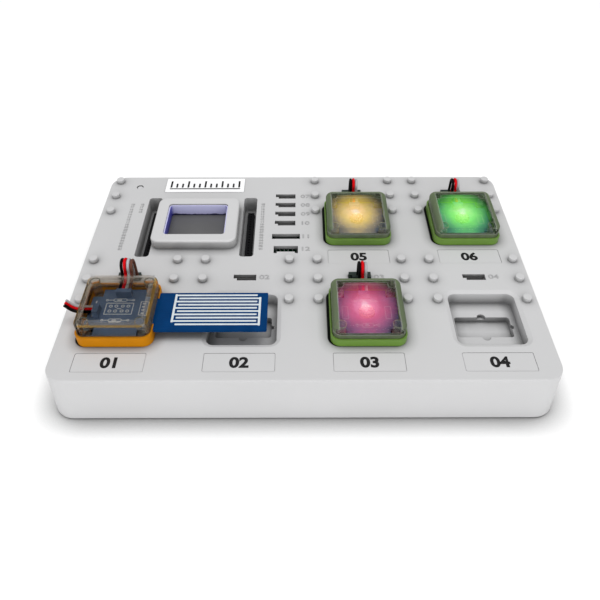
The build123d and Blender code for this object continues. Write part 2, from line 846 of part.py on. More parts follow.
def make_rain_plate(cell):
    """Flat sensing plate beside the module, with a tab that lies on its circuit board."""
    centre = module_centre(cell)
    y = cell[1] + plate_offset_y
    low = deck_z + rain_board_top
    left = centre[0] + frame_width / 2 + plate_gap
    plate = block(plate_length, plate_width, low, low + plate_thickness, plate_corner,
                  (left + plate_length / 2, y))
    tab_left = centre[0] + module_board_width / 2 - tab_overlap
    tab_length = left - tab_left + plate_corner
    return plate + block(tab_length, tab_width, low, low + plate_thickness, 0.0, (tab_left + tab_length / 2, y))


def make_rain_tail(cell):
    """Three short wires that leave the module on its left and rise to their cut ends."""
    exit_z = rain_frame_height + lead_clearance + lead_diameter / 2
    start = module_board_width / 2 - terminal_inset
    side = [(start, exit_z), (start + 3.8, exit_z), (start + 8.1, exit_z + 0.2),
            (start + 10.9, exit_z + 1.9), (start + 13.1, exit_z + 4.9)]
    tubes = []
    for number, y in enumerate(tail_places(cell), 1):
        points = [(module_centre(cell)[0] - x, y, deck_z + z) for x, z in side]
        tubes.append(make_lead(points, "tail wire " + str(number)))
    return together(tubes)


def make_led_module(name, cell):
    leads = lead_places(cell, led_first_lead, led_lead_count)
    return {
        name + "_under_case": make_under_case(cell),
        name + "_frame": make_frame(cell, led_frame_height, led_board_top),
        name + "_lid": make_lid(cell, led_frame_height, led_lid_top, led_board_top, leads),
        name + "_circuit_board": make_module_board(cell, led_frame_height, led_board_top, leads),
        name + "_led": make_led(cell, led_board_top),
        name + "_leads": make_leads(cell, led_frame_height, leads, led_crowns, name),
        name + "_plug": make_plug(cell),
    }


def make_rain_module(cell):
    leads = lead_places(cell, rain_first_lead, rain_lead_count)
    return {
        "rain_under_case": make_under_case(cell),
        "rain_frame": make_rain_frame(cell),
        "rain_lid": make_rain_lid(cell, leads),
        "rain_circuit_board": make_rain_board(cell, leads),
        "rain_leads": make_leads(cell, rain_frame_height, leads, rain_crowns, "rain"),
        "rain_plug": make_plug(cell),
        "rain_plate": make_rain_plate(cell),
        "rain_tail": make_rain_tail(cell),
    }


nodes = {
    "top_cover": make_top_cover(),
    "bottom_plate": make_bottom_plate(),
    "rubber_feet": make_feet(),
    "case_screws": make_case_screws(),
    "main_board": make_main_board(),
    "board_screws": make_board_screws(),
    "side_sockets": together(make_socket(place) for place in side_ports),
    "port_pins": make_port_pins(),
    "header_left": make_header(trench_centres[0]),
    "header_right": make_header(trench_centres[1]),
    "serial_header": make_pin_header(serial_slot_centre, serial_pins, 1),
    "expansion_header": make_pin_header(expansion_slot_centre, expansion_columns, expansion_rows),
    "display_bezel": make_bezel(),
    "display_lining": make_lining(),
    "display_screen": make_screen(),
    "display_board": make_display_board(),
    "display_header": make_display_header(),
    "usb_socket": make_usb_socket(),
    "main_chip": make_chip(),
    "board_capacitors": make_capacitors(),
    "title_label": make_title_label(),
    "reset_switch": make_reset_switch(),
    "reset_plunger": make_reset_plunger(),
    "reset_cap": make_reset_cap(),
}
for number, place in enumerate(cell_ports, 1):
    nodes["port_socket_" + str(number)] = make_socket(place)
nodes.update(make_rain_module(cells[0]))
nodes.update(make_led_module("pink", cells[2]))
nodes.update(make_led_module("amber", cells[4]))
nodes.update(make_led_module("green", cells[5]))

os.makedirs("parts", exist_ok=True)
for name, shape in nodes.items():
    export_step(shape, "parts/" + name + ".step")
print(len(nodes), "nodes written")
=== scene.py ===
from math import cos, pi, radians, sin

import bmesh
import bpy
from mathutils import Matrix, Vector


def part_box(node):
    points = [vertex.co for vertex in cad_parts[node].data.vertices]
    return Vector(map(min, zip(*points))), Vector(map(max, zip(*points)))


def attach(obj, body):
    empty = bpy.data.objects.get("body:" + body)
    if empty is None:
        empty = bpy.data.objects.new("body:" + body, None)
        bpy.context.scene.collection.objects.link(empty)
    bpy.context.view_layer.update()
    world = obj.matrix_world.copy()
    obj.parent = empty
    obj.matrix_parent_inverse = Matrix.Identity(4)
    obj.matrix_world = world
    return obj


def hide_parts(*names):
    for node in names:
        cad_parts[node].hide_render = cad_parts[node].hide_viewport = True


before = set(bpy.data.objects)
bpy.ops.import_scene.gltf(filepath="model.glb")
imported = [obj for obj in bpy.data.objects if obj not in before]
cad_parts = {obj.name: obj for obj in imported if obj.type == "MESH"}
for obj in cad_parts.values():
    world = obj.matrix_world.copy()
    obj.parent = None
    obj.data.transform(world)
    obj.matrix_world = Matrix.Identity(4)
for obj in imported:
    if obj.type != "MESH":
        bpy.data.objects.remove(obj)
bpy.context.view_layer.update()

bl_info = {
    "name": "Coding board dresser",
    "version": (1, 0, 0),
    "blender": (4, 5, 0),
    "location": "3D View > Sidebar > Board",
    "description": "Dresses a packed classroom coding board: finishes, leads, printed lines and studio",
    "category": "Object",
}

MM = 0.001
DECK_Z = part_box("title_label")[0].z
LABEL_FLOOR_Z = DECK_Z - 0.4 * MM

# Columns and rows of the cells, and the cells that hold a module
COLUMNS = [-0.096, -0.032, 0.032, 0.096]
FRONT_ROW = -0.0436
BACK_ROW = 0.0344
CELLS = [(x, FRONT_ROW) for x in COLUMNS] + [(x, BACK_ROW) for x in COLUMNS[2:]]
PORT_OFFSET = (-0.7 * MM, 30.5 * MM)
LABEL_OFFSET_Y = -30.0 * MM
MODULE_SHIFT = 0.7 * MM
LID_THICKNESS = 1.6 * MM
LIT_MODULES = {"pink": CELLS[2], "amber": CELLS[4], "green": CELLS[5]}
RAIN_CELL = CELLS[0]

# Materials that the operators make, by name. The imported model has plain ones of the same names.
finishes = {}

# Places of the sockets that a Mix node uses for colours
MIX_FACTOR = 0
MIX_COLOURS = (6, 7)
MIX_RESULT = 2

# Samples of the edge and corner nodes, and the smallest edge that can look worn
BEVEL_SAMPLES = 4
HOLLOW_SAMPLES = 8
LEAST_EDGE = 0.3 * MM


# Small helpers for node materials

def screen(red, green, blue):
    """A colour read off a screen, 0 to 255, as the linear numbers that shaders work with."""
    linear = []
    for value in (red, green, blue):
        level = value / 255
        linear.append(level / 12.92 if level <= 0.04045 else ((level + 0.055) / 1.055) ** 2.4)
    return tuple(linear)


def scaled(colour, factor):
    """The colour made lighter or darker by a factor."""
    return tuple(min(1.0, channel * factor) for channel in colour)


def feed(material, node, values):
    """Sets inputs of a node by name or place. A socket is linked, and anything else is a plain value."""
    for name, value in values.items():
        if isinstance(value, bpy.types.NodeSocket):
            material.node_tree.links.new(value, node.inputs[name])
        else:
            node.inputs[name].default_value = value


def add_node(material, kind, values):
    """Adds a shader node of a kind and sets its inputs."""
    node = material.node_tree.nodes.new("ShaderNode" + kind)
    feed(material, node, values)
    return node


def new_material(name):
    """A material with one Principled shader, which finishes keeps under its name."""
    material = bpy.data.materials.new(name)
    material.use_nodes = True
    material.node_tree.nodes.clear()
    shader = add_node(material, "BsdfPrincipled", {})
    add_node(material, "OutputMaterial", {"Surface": shader.outputs["BSDF"]})
    finishes[name] = material
    return material, shader


def vector_maths(material, operation, first, second=None):
    """A Vector Math node. Each side is a socket or three plain numbers."""
    node = add_node(material, "VectorMath", {0: first} if second is None else {0: first, 1: second})
    node.operation = operation
    return node.outputs["Value" if operation in ("DOT_PRODUCT", "DISTANCE", "LENGTH") else "Vector"]


def axes(material, vector):
    """The X, Y and Z of a vector."""
    return add_node(material, "SeparateXYZ", {"Vector": vector}).outputs[:3]


def place_on_piece(material):
    """The point on the piece, in metres of its own frame."""
    return add_node(material, "TexCoord", {}).outputs["Object"]


def noise(material, size, detail=2.0, stretch=None):
    """Noise from 0 to 1 whose blotches are about size metres across, or streaks if it is stretched."""
    point = place_on_piece(material)
    if stretch:
        point = vector_maths(material, "MULTIPLY", point, stretch)
    node = add_node(material, "TexNoise", {"Vector": point, "Scale": 1 / size, "Detail": detail})
    return node.outputs["Fac"]


def ramp(material, factor, stops):
    """Colours along a factor. Each stop is a place from 0 to 1 and a colour."""
    node = add_node(material, "ValToRGB", {"Fac": factor})
    elements = node.color_ramp.elements
    while len(elements) < len(stops):
        elements.new(0.5)
    for element, (place, colour) in zip(elements, stops):
        element.position = place
        element.color = (*colour, 1.0)
    return node.outputs["Color"]


def drifting(material, factor, colour, darkest, lightest):
    """A colour that drifts between two shades of itself."""
    return ramp(material, factor, [(0.3, scaled(colour, darkest)), (0.7, scaled(colour, lightest))])


def spread(material, factor, low, high, from_low=0.3, from_high=0.7):
    """A number that runs from low to high as the factor crosses its range."""
    return add_node(material, "MapRange", {"Value": factor, "From Min": from_low, "From Max": from_high,
                                           "To Min": low, "To Max": high}).outputs["Result"]


def rise(material, factor, start, end):
    """0 up to the start, and 1 from the end on."""
    return spread(material, factor, 0.0, 1.0, start, end)


def fall(material, factor, start, end):
    """1 up to the start, and 0 from the end on."""
    return spread(material, factor, 1.0, 0.0, start, end)


def wander(material, size, low, high, detail=2.0):
    """A number that wanders between low and high, over blotches about size metres across."""
    return spread(material, noise(material, size, detail), low, high)


def arithmetic(material, operation, first, second=0.0):
    """A Math node. Each side is a socket or a plain number."""
    node = add_node(material, "Math", {0: first, 1: second})
    node.operation = operation
    return node.outputs["Value"]


def product(material, first, second):
    """One side times the other."""
    return arithmetic(material, "MULTIPLY", first, second)


def larger(material, first, second):
    """The larger of two sides."""
    return arithmetic(material, "MAXIMUM", first, second)


def difference(material, first, second):
    """The first side less the second."""
    return arithmetic(material, "SUBTRACT", first, second)


def blend_colours(material, factor, first, second):
    """Mix of two colours, each a socket or a plain colour."""
    node = add_node(material, "Mix", {})
    node.data_type = "RGBA"
    feed(material, node, {MIX_FACTOR: factor})
    for place, value in zip(MIX_COLOURS, (first, second)):
        feed(material, node, {place: (*value, 1.0) if isinstance(value, tuple) else value})
    return node.outputs[MIX_RESULT]


def rounded_normal(material, radius):
    """The direction of a surface whose edges are rounded by a radius."""
    edge = add_node(material, "Bevel", {"Radius": radius})
    edge.samples = BEVEL_SAMPLES
    return edge.outputs["Normal"]


def grain(material, shader, height, depth, edge_radius=0.0):
    """Surface relief of a depth in metres, over edges rounded by a radius."""
    relief = add_node(material, "Bump", {"Distance": depth, "Height": height})
    if edge_radius:
        feed(material, relief, {"Normal": rounded_normal(material, edge_radius)})
    feed(material, shader, {"Normal": relief.outputs["Normal"]})


def worn_edges(material, radius):
    """1 on sharp edges and 0 on flats, from how far the rounded normal leans from the true one."""
    true_normal = add_node(material, "NewGeometry", {}).outputs["Normal"]
    lean = vector_maths(material, "DOT_PRODUCT", rounded_normal(material, radius), true_normal)
    return fall(material, lean, 0.6, 1.0)


def corner_dirt(material, reach, darkest):
    """Painted shade: 1 on open faces and 0 in corners, where steps closer than reach hide most of the sky.
    """
    hollow = add_node(material, "AmbientOcclusion", {"Distance": reach})
    hollow.samples = HOLLOW_SAMPLES
    return rise(material, hollow.outputs["AO"], darkest, 1.0)


def moulded(name, colour, roughness, tone, blotch, grain_size, grain_depth, edge_radius=0.0, edge_light=0.0,
            roughness_play=0.08, specular=0.5, shade_reach=0.0, shade_sky_share=1.0, shade_factor=0.3, stud_floor=None,
            foot_height=None):
    """Moulded plastic: colour that drifts a little, fine grain, worn edges and painted shade in corners.

    Tone is how far the colour drifts, over blotches of the given size. The painted shade is darkest in
    corners that see no more open sky than the given share. Studs above stud_floor and walls below
    foot_height are kept free of it.
    """
    material, shader = new_material(name)
    tint = drifting(material, noise(material, blotch, 3.0), colour, 1 - tone, 1 + tone)
    if edge_light:
        edges = worn_edges(material, max(edge_radius, LEAST_EDGE))
        edges = product(material, edges, noise(material, 0.002))
        tint = blend_colours(material, edges, tint, scaled(colour, 1 + edge_light))
    # Painted shade in corners and hollows, kept off the studs' upper parts and the foot of the walls
    if shade_reach:
        unshaded = corner_dirt(material, shade_reach, shade_sky_share)
        if stud_floor:
            height = axes(material, place_on_piece(material))[2]
            stud_unshaded = spread(material, height, 0.0, 0.85, stud_floor + 0.05 * MM, stud_floor + 1.8 * MM)
            foot_unshaded = fall(material, height, foot_height, foot_height + 4 * MM)
            unshaded = larger(material, larger(material, unshaded, stud_unshaded), foot_unshaded)
        tint = blend_colours(material, unshaded, scaled(colour, shade_factor), tint)
    fine = noise(material, grain_size)
    rub = arithmetic(material, "ADD", fine, noise(material, blotch * 0.4))
    rough = spread(material, rub, roughness - roughness_play, roughness + roughness_play, 0.6, 1.4)
    feed(material, shader, {"Base Color": tint, "Roughness": rough, "Specular IOR Level": specular})
    grain(material, shader, fine, grain_depth, edge_radius)
    return material


def metal(name, colour, roughness, brushed, size):
    """Plated or brushed metal with fine streaks and a little tarnish."""
    material, shader = new_material(name)
    streaks = noise(material, size, 4.0, brushed)
    tint = ramp(material, noise(material, size * 8), [(0.35, scaled(colour, 0.82)), (0.7, colour)])
    rough = spread(material, streaks, roughness * 0.7, roughness * 1.5)
    feed(material, shader, {"Base Color": tint, "Roughness": rough, "Metallic": 1.0})
    grain(material, shader, streaks, 0.00001)
    return material


def dress(material, *nodes):
    """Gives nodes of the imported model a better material."""
    for node in nodes:
        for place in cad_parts[node].material_slots:
            place.material = material


# Small helpers for meshes

# Corner radius of a printed rectangle, and how near two points of a digit count as one
FRAME_CORNER = 0.2 * MM
MERGE_DISTANCE = 1e-7


def add_object(name, data):
    """Puts an object with this data into the scene."""
    added = bpy.data.objects.new(name, data)
    bpy.context.scene.collection.objects.link(added)
    return added


def add_piece(name, form, material, body):
    """Turns a bmesh into a piece that rides on a body and wears the given material."""
    mesh = bpy.data.meshes.new(name)
    bmesh.ops.recalc_face_normals(form, faces=form.faces)
    form.to_mesh(mesh)
    form.free()
    mesh.materials.append(material)
    piece = add_object(name, mesh)
    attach(piece, body)


def add_prism(form, outline, low, high):
    """Closed prism over a flat outline of (x, y) corners."""
    bottom = [form.verts.new((x, y, low)) for x, y in outline]
    top = [form.verts.new((x, y, high)) for x, y in outline]
    form.faces.new(list(reversed(bottom)))
    form.faces.new(top)
    for i in range(len(outline)):
        j = (i + 1) % len(outline)
        form.faces.new((bottom[i], bottom[j], top[j], top[i]))


def rounded_outline(centre, width, depth, radius, steps=4):
    """Corners of a rectangle with rounded corners, or of a circle where the radius is half its width."""
    corners = []
    for turn, (side_x, side_y) in enumerate(((1, 1), (-1, 1), (-1, -1), (1, -1))):
        for step in range(steps + 1):
            angle = (turn + step / steps) * pi / 2
            corners.append((centre[0] + side_x * (width / 2 - radius) + radius * cos(angle),
                            centre[1] + side_y * (depth / 2 - radius) + radius * sin(angle)))
    return corners


def add_slab(form, centre, width, depth, low, high, radius=0.0, steps=4):
    """Flat slab with rounded corners."""
    if radius:
        add_prism(form, rounded_outline(centre, width, depth, radius, steps), low, high)
    else:
        x, y = centre
        outline = [(x + side_x * width / 2, y + side_y * depth / 2)
                   for side_x, side_y in ((1, 1), (-1, 1), (-1, -1), (1, -1))]
        add_prism(form, outline, low, high)


def add_ring(form, outer, inner, low, high):
    """Flat ring between two outlines with as many corners."""
    rings = [[form.verts.new((x, y, z)) for x, y in outline]
             for z in (low, high) for outline in (outer, inner)]
    low_out, low_in, high_out, high_in = rings
    count = len(outer)
    for i in range(count):
        j = (i + 1) % count
        form.faces.new((high_out[i], high_out[j], high_in[j], high_in[i]))
        form.faces.new((low_out[i], low_in[i], low_in[j], low_out[j]))
        form.faces.new((low_out[i], low_out[j], high_out[j], high_out[i]))
        form.faces.new((low_in[i], high_in[i], high_in[j], low_in[j]))


def add_frame(form, centre, width, depth, line, low, high):
    """Printed outline of a rectangle. The line lies inside its size."""
    outer = rounded_outline(centre, width, depth, FRAME_CORNER, 2)
    inner = rounded_outline(centre, width - 2 * line, depth - 2 * line, FRAME_CORNER / 2, 2)
    add_ring(form, outer, inner, low, high)


def add_washer(form, centre, outer, inner, low, high, steps=3):
    """Round ring. Each of its two sides is a width, and a corner radius just under half of it."""
    rings = [rounded_outline(centre, width, width, radius, steps) for width, radius in (outer, inner)]
    add_ring(form, *rings, low, high)


def print_span(surface):
    """Lowest and highest point of print that lies on a surface."""
    thickness = bpy.context.scene.coding_board_print.print_thickness
    return surface - thickness, surface + thickness


def add_digits(form, words, height, centre, low, high, boldness=0.0, widen=1.0):
    """Plain digits as closed shapes of a given height, centred on a place."""
    curve = bpy.data.curves.new("digits", "FONT")
    curve.body = words
    curve.extrude = 0.1
    curve.offset = boldness
    curve.resolution_u = 5
    holder = add_object("digits", curve)
    bpy.context.view_layer.update()
    seen = holder.evaluated_get(bpy.context.evaluated_depsgraph_get())
    mesh = bpy.data.meshes.new_from_object(seen)
    xs = [vertex.co.x for vertex in mesh.vertices]
    ys = [vertex.co.y for vertex in mesh.vertices]
    scale = height / (max(ys) - min(ys))
    middle = ((max(xs) + min(xs)) / 2, (max(ys) + min(ys)) / 2)
    for vertex in mesh.vertices:
        x = (vertex.co.x - middle[0]) * scale * widen
        y = (vertex.co.y - middle[1]) * scale
        vertex.co = (centre[0] + x, centre[1] + y, high if vertex.co.z > 0 else low)
    form.from_mesh(mesh)
    bmesh.ops.remove_doubles(form, verts=form.verts, dist=MERGE_DISTANCE)
    bpy.data.objects.remove(holder)
    bpy.data.curves.remove(curve)
    bpy.data.meshes.remove(mesh)


# Values that a user would change

class CodingBoardCase(bpy.types.PropertyGroup):
    cover_colour: bpy.props.FloatVectorProperty(
        name="Cover colour", description="Colour of the moulded cover", subtype="COLOR",
        default=(0.52, 0.52, 0.525), min=0.0, max=1.0)
    base_colour: bpy.props.FloatVectorProperty(
        name="Base colour", description="Colour of the plate underneath", subtype="COLOR",
        default=(0.33, 0.33, 0.34), min=0.0, max=1.0)
    grain_depth: bpy.props.FloatProperty(
        name="Grain depth", description="Depth of the fine grain of the moulded plastic",
        default=0.000018, min=0.0, max=0.0002, precision=6, subtype="DISTANCE")
    edge_radius: bpy.props.FloatProperty(
        name="Edge radius", description="How far the cover's edges look rounded",
        default=0.00035, min=0.0, max=0.002, precision=5, subtype="DISTANCE")


class CodingBoardModules(bpy.types.PropertyGroup):
    lit_frame_colour: bpy.props.FloatVectorProperty(
        name="Lit frame colour", description="Frame of the three modules with a light", subtype="COLOR",
        default=screen(98, 134, 48), min=0.0, max=1.0)
    rain_frame_colour: bpy.props.FloatVectorProperty(
        name="Rain frame colour", description="Frame of the rain module", subtype="COLOR",
        default=screen(190, 121, 4), min=0.0, max=1.0)
    board_colour: bpy.props.FloatVectorProperty(
        name="Board colour", description="Solder mask of the lit modules' circuit boards", subtype="COLOR",
        default=screen(68, 86, 116), min=0.0, max=1.0)
    plate_colour: bpy.props.FloatVectorProperty(
        name="Plate colour", description="Solder mask of the sensing plate", subtype="COLOR",
        default=screen(0, 50, 98), min=0.0, max=1.0)
    # Painted light of the lamp on the circuit board: how far it reaches and how bright it is
    glow_radius: bpy.props.FloatProperty(
        name="Glow radius", description="How far the light spreads over the circuit board",
        default=0.0165, min=0.001, max=0.05, subtype="DISTANCE")
    glow_strength: bpy.props.FloatProperty(
        name="Glow strength", description="Brightness of the lit circuit board",
        default=0.3, min=0.0, max=10.0)
    lamp_strength: bpy.props.FloatProperty(
        name="Lamp strength", description="Brightness of the small lamp itself",
        default=0.03, min=0.0, max=50.0)


class CodingBoardPrint(bpy.types.PropertyGroup):
    number_height: bpy.props.FloatProperty(
        name="Number height", description="Height of the numbers in front of the pockets",
        default=0.0069, min=0.001, max=0.01, subtype="DISTANCE")
    port_number_height: bpy.props.FloatProperty(
        name="Port number height", description="Height of the raised numbers beside the ports",
        default=0.0033, min=0.0005, max=0.006, subtype="DISTANCE")
    pin_number_height: bpy.props.FloatProperty(
        name="Pin number height", description="Height of the raised numbers beside the header trenches",
        default=0.0017, min=0.0005, max=0.006, subtype="DISTANCE")
    print_thickness: bpy.props.FloatProperty(
        name="Print thickness", description="How far printed lines stand on their surface",
        default=0.00005, min=0.00001, max=0.0005, precision=6, subtype="DISTANCE")
    relief_height: bpy.props.FloatProperty(
        name="Relief height", description="How far the raised numbers stand on the deck",
        default=0.00015, min=0.00001, max=0.001, precision=6, subtype="DISTANCE")


class CodingBoardLeads(bpy.types.PropertyGroup):
    diameter: bpy.props.FloatProperty(
        name="Lead diameter", description="Thickness of each wire with its insulation",
        default=0.0016, min=0.0005, max=0.003, precision=4, subtype="DISTANCE")
    pitch: bpy.props.FloatProperty(
        name="Lead pitch", description="Distance from one wire to the next",
        default=0.00175, min=0.0005, max=0.003, precision=5, subtype="DISTANCE")


class CodingBoardStage(bpy.types.PropertyGroup):
    floor_size: bpy.props.FloatProperty(
        name="Floor size", description="Side of the pale floor",
        default=9.0, min=1.0, max=50.0, subtype="DISTANCE")
    floor_colour: bpy.props.FloatVectorProperty(
        name="Floor colour", description="Colour of the pale floor", subtype="COLOR",
        default=(0.96, 0.96, 0.96), min=0.0, max=1.0)
    lamp_power: bpy.props.FloatProperty(
        name="Lamp power", description="Power of the large soft lamp overhead",
        default=16.0, min=0.0, max=1000.0, subtype="POWER")
    fill_power: bpy.props.FloatProperty(
        name="Fill power", description="Power of the soft lamp in front of the board",
        default=12.5, min=0.0, max=1000.0, subtype="POWER")
    surround: bpy.props.FloatProperty(
        name="Surround", description="Brightness of the white surroundings",
        default=0.64, min=0.0, max=10.0)
    lens: bpy.props.FloatProperty(
        name="Lens", description="Focal length of the camera in millimetres",
        default=37.09, min=5.0, max=300.0, subtype="DISTANCE_CAMERA")


# Leads

WIRE_COLOURS = {
    "black": screen(9, 7, 8),
    "red": screen(205, 10, 20),
    "white": screen(168, 168, 172),
    "brown": screen(96, 62, 52),
}

# Each wire's colour, the height of its loop's crown over the deck and its length, in millimetres
LIT_WIRES = [("black", 13.3, 31.35), ("red", 13.5, 31.74), ("white", 13.0, 30.76)]
RAIN_WIRES = [("black", 15.9, 34.53), ("red", 16.1, 34.93), ("white", 15.8, 34.33), ("brown", 15.3, 33.34)]

# The rain module's tail, from the module's middle: place of its first wire, and the side view of every
# wire, as distances and heights over the deck in millimetres
TAIL_FIRST_Y = -2.7 * MM
TAIL_SIDE = [(13.1, 7.3), (16.9, 7.3), (21.2, 7.5), (24.0, 9.2), (26.2, 12.2)]


def wire_material(colour_name):
    """Soft insulation: a low sheen, a faint drift in tone and a fine grain."""
    name = "lead_" + colour_name
    if name in finishes:
        return finishes[name]
    return moulded(name, WIRE_COLOURS[colour_name], 0.5, 0.1, 0.004, 0.0003, 0.00001, specular=0.05)


def make_lead(name, points, diameter, colour_name, body):
    """One wire on a smooth line that its given points steer."""
    curve = bpy.data.curves.new(name, "CURVE")
    curve.dimensions = "3D"
    spline = curve.splines.new("NURBS")
    spline.points.add(len(points) - 1)
    for point, place in zip(spline.points, points):
        point.co = (*place, 1.0)
    spline.order_u = 3
    spline.use_endpoint_u = True
    curve.resolution_u = 10
    curve.bevel_depth = diameter / 2
    curve.bevel_resolution = 4
    curve.use_fill_caps = True
    curve.materials.append(wire_material(colour_name))
    piece = add_object(name, curve)
    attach(piece, body)
    return piece


def lead_points(cell, x, exit_height, crown):
    """Route of one wire: back out of the module, over a loop, and down into the plug."""
    side = [(13.1, exit_height), (16.9, exit_height), (21.1, exit_height + 0.1), (23.2, exit_height + 2.7),
            (23.5, crown - 2.1), (25.4, crown - 0.1), (28.2, crown), (30.3, crown - 2.05),
            (30.5, (crown + 2.2) / 2 - 1.1), (30.5, 2.2)]
    return [(x, cell[1] + y * MM, DECK_Z + z * MM) for y, z in side]


def make_leads(module, cell, wires, settings, exit_height, first):
    """The wires of one module side by side.

    They leave the lid at the exit height over the deck, and the first lies this far to the right of the
    port's middle, both in millimetres.
    """
    for number, (colour_name, crown, length) in enumerate(wires):
        x = cell[0] + PORT_OFFSET[0] + first * MM + number * settings.pitch
        points = lead_points(cell, x, exit_height, crown)
        name = module + "_lead_" + colour_name
        lead = make_lead(name, points, settings.diameter, colour_name, module + "_module")
        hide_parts(module + "_leads")


class CODING_BOARD_OT_leads(bpy.types.Operator):
    """Lay the coloured wires from each module into its plug, and the short tail of the rain module"""
    bl_idname = "coding_board.leads"
    bl_label = "Leads"

    def execute(self, context):
        settings = context.scene.coding_board_leads
        for module, cell in LIT_MODULES.items():
            make_leads(module, cell, LIT_WIRES, settings, exit_height=5.3, first=-1.2)
        make_leads("rain", RAIN_CELL, RAIN_WIRES, settings, exit_height=7.3, first=-0.9)
        module_x = RAIN_CELL[0] + MODULE_SHIFT
        for number, colour_name in enumerate(("black", "red", "white")):
            y = RAIN_CELL[1] + TAIL_FIRST_Y + number * settings.pitch
            points = [(module_x - x * MM, y, DECK_Z + z * MM) for x, z in TAIL_SIDE]
            name = "rain_tail_" + colour_name
            tail = make_lead(name, points, settings.diameter, colour_name, "rain_module")
            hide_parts("rain_tail")
        return {"FINISHED"}


# Case

class CODING_BOARD_OT_case(bpy.types.Operator):
    """Finish the moulded cover, the bottom plate, the rubber feet and the screws"""
    bl_idname = "coding_board.case"
    bl_label = "Case"

    def execute(self, context):
        settings = context.scene.coding_board_case
        # Painted shade in the cover's pockets, slots and corners and round the studs
        dress(moulded("cover_plastic", tuple(settings.cover_colour), 0.5, 0.015, 0.05, 0.0004,
                      settings.grain_depth, settings.edge_radius, edge_light=0.1, specular=0.4,
                      shade_reach=0.007, shade_sky_share=0.5, shade_factor=0.38, stud_floor=DECK_Z, foot_height=6 * MM),
              "top_cover")
        dress(moulded("base_plastic", tuple(settings.base_colour), 0.55, 0.03, 0.04, 0.0005,
                      settings.grain_depth * 1.5, settings.edge_radius, edge_light=0.15), "bottom_plate")
        dress(moulded("foot_rubber", screen(46, 46, 48), 0.8, 0.12, 0.006, 0.0006, 0.00006), "rubber_feet")
        dress(metal("screw_steel", screen(168, 168, 172), 0.3, (1.0, 1.0, 6.0), 0.0008),
              "case_screws", "board_screws")
        return {"FINISHED"}


# Printed and raised numbers

# Film under the numbers in front of the pockets: its width and depth, its thickness and its corners
FILM_SIZE = (35.1 * MM, 11.4 * MM)
FILM_THICKNESS = 0.28 * MM
FILM_CORNER = 0.7 * MM

# Place of a port's number from the port's middle
PORT_NUMBER_OFFSET = (10.9 * MM, 0.3 * MM)

# Rows of the slots beside the display, and the column of their numbers, in millimetres
SLOT_ROWS = (62.95, 53.8, 44.65, 35.5, 22.75, 11.4)
SLOT_NUMBERS_X = 1.6

# Columns of pin numbers, each with its x in millimetres and its first pin, and the pins' pitch
PIN_COLUMNS = ((-107.6, 0), (-25.0, 0), (-101.6, 14))
PIN_COUNT = 18
PIN_PITCH = 2.54
PINS_MIDDLE_Y = 33.0


class CODING_BOARD_OT_numbers(bpy.types.Operator):
    """Print a plain number in front of each pocket and raise small ones beside ports and trenches"""
    bl_idname = "coding_board.numbers"
    bl_label = "Numbers"

    def execute(self, context):
        settings = context.scene.coding_board_print
        ink = moulded("number_ink", screen(14, 14, 16), 0.6, 0.15, 0.003, 0.0003, 0.000008, specular=0.2)
        cover_colour = tuple(context.scene.coding_board_case.cover_colour)
        film = moulded("cell_film", cover_colour, 0.55, 0.01, 0.02, 0.0006, 0.000006)
        film_top = LABEL_FLOOR_Z + FILM_THICKNESS
        low, high = print_span(film_top)
        for number, (x, y) in enumerate(CELLS, 1):
            place = (x, y + LABEL_OFFSET_Y)
            form = bmesh.new()
            add_slab(form, place, *FILM_SIZE, LABEL_FLOOR_Z, film_top, FILM_CORNER)
            add_piece("cell_label_" + str(number), form, film, "board")
            form = bmesh.new()
            add_digits(form, "%02d" % number, settings.number_height, place, low, high,
                       boldness=0.04, widen=1.08)
            add_piece("cell_number_" + str(number), form, ink, "board")

        # Painted shade: the raised numbers are darker than the cover plastic they stand on
        relief = moulded("relief_plastic", scaled(cover_colour, 0.66), 0.6, 0.25, 0.0012, 0.0003, 0.00001)
        low = DECK_Z - settings.relief_height
        high = DECK_Z + settings.relief_height
        form = bmesh.new()
        places = [(x + PORT_OFFSET[0] + PORT_NUMBER_OFFSET[0], y + PORT_OFFSET[1] + PORT_NUMBER_OFFSET[1])
                  for x, y in CELLS] + [(SLOT_NUMBERS_X * MM, y * MM) for y in SLOT_ROWS]
        for number, place in enumerate(places, 1):
            add_digits(form, "%02d" % number, settings.port_number_height, place, low, high, widen=1.25)
        add_piece("port_numbers", form, relief, "board")

        form = bmesh.new()
        for side_x, first_pin in PIN_COLUMNS:
            for pin in range(first_pin, PIN_COUNT):
                y = (PINS_MIDDLE_Y + (pin - (PIN_COUNT - 1) / 2) * PIN_PITCH) * MM
                words = "%02d" % (pin + 1)
                add_digits(form, words, settings.pin_number_height, (side_x * MM, y), low, high)
        add_piece("pin_numbers", form, relief, "board")
        return {"FINISHED"}


# Display

# Heights between which the inner lining goes from dark to pale
LINING_FOOT = 27 * MM
LINING_TOP = 34 * MM


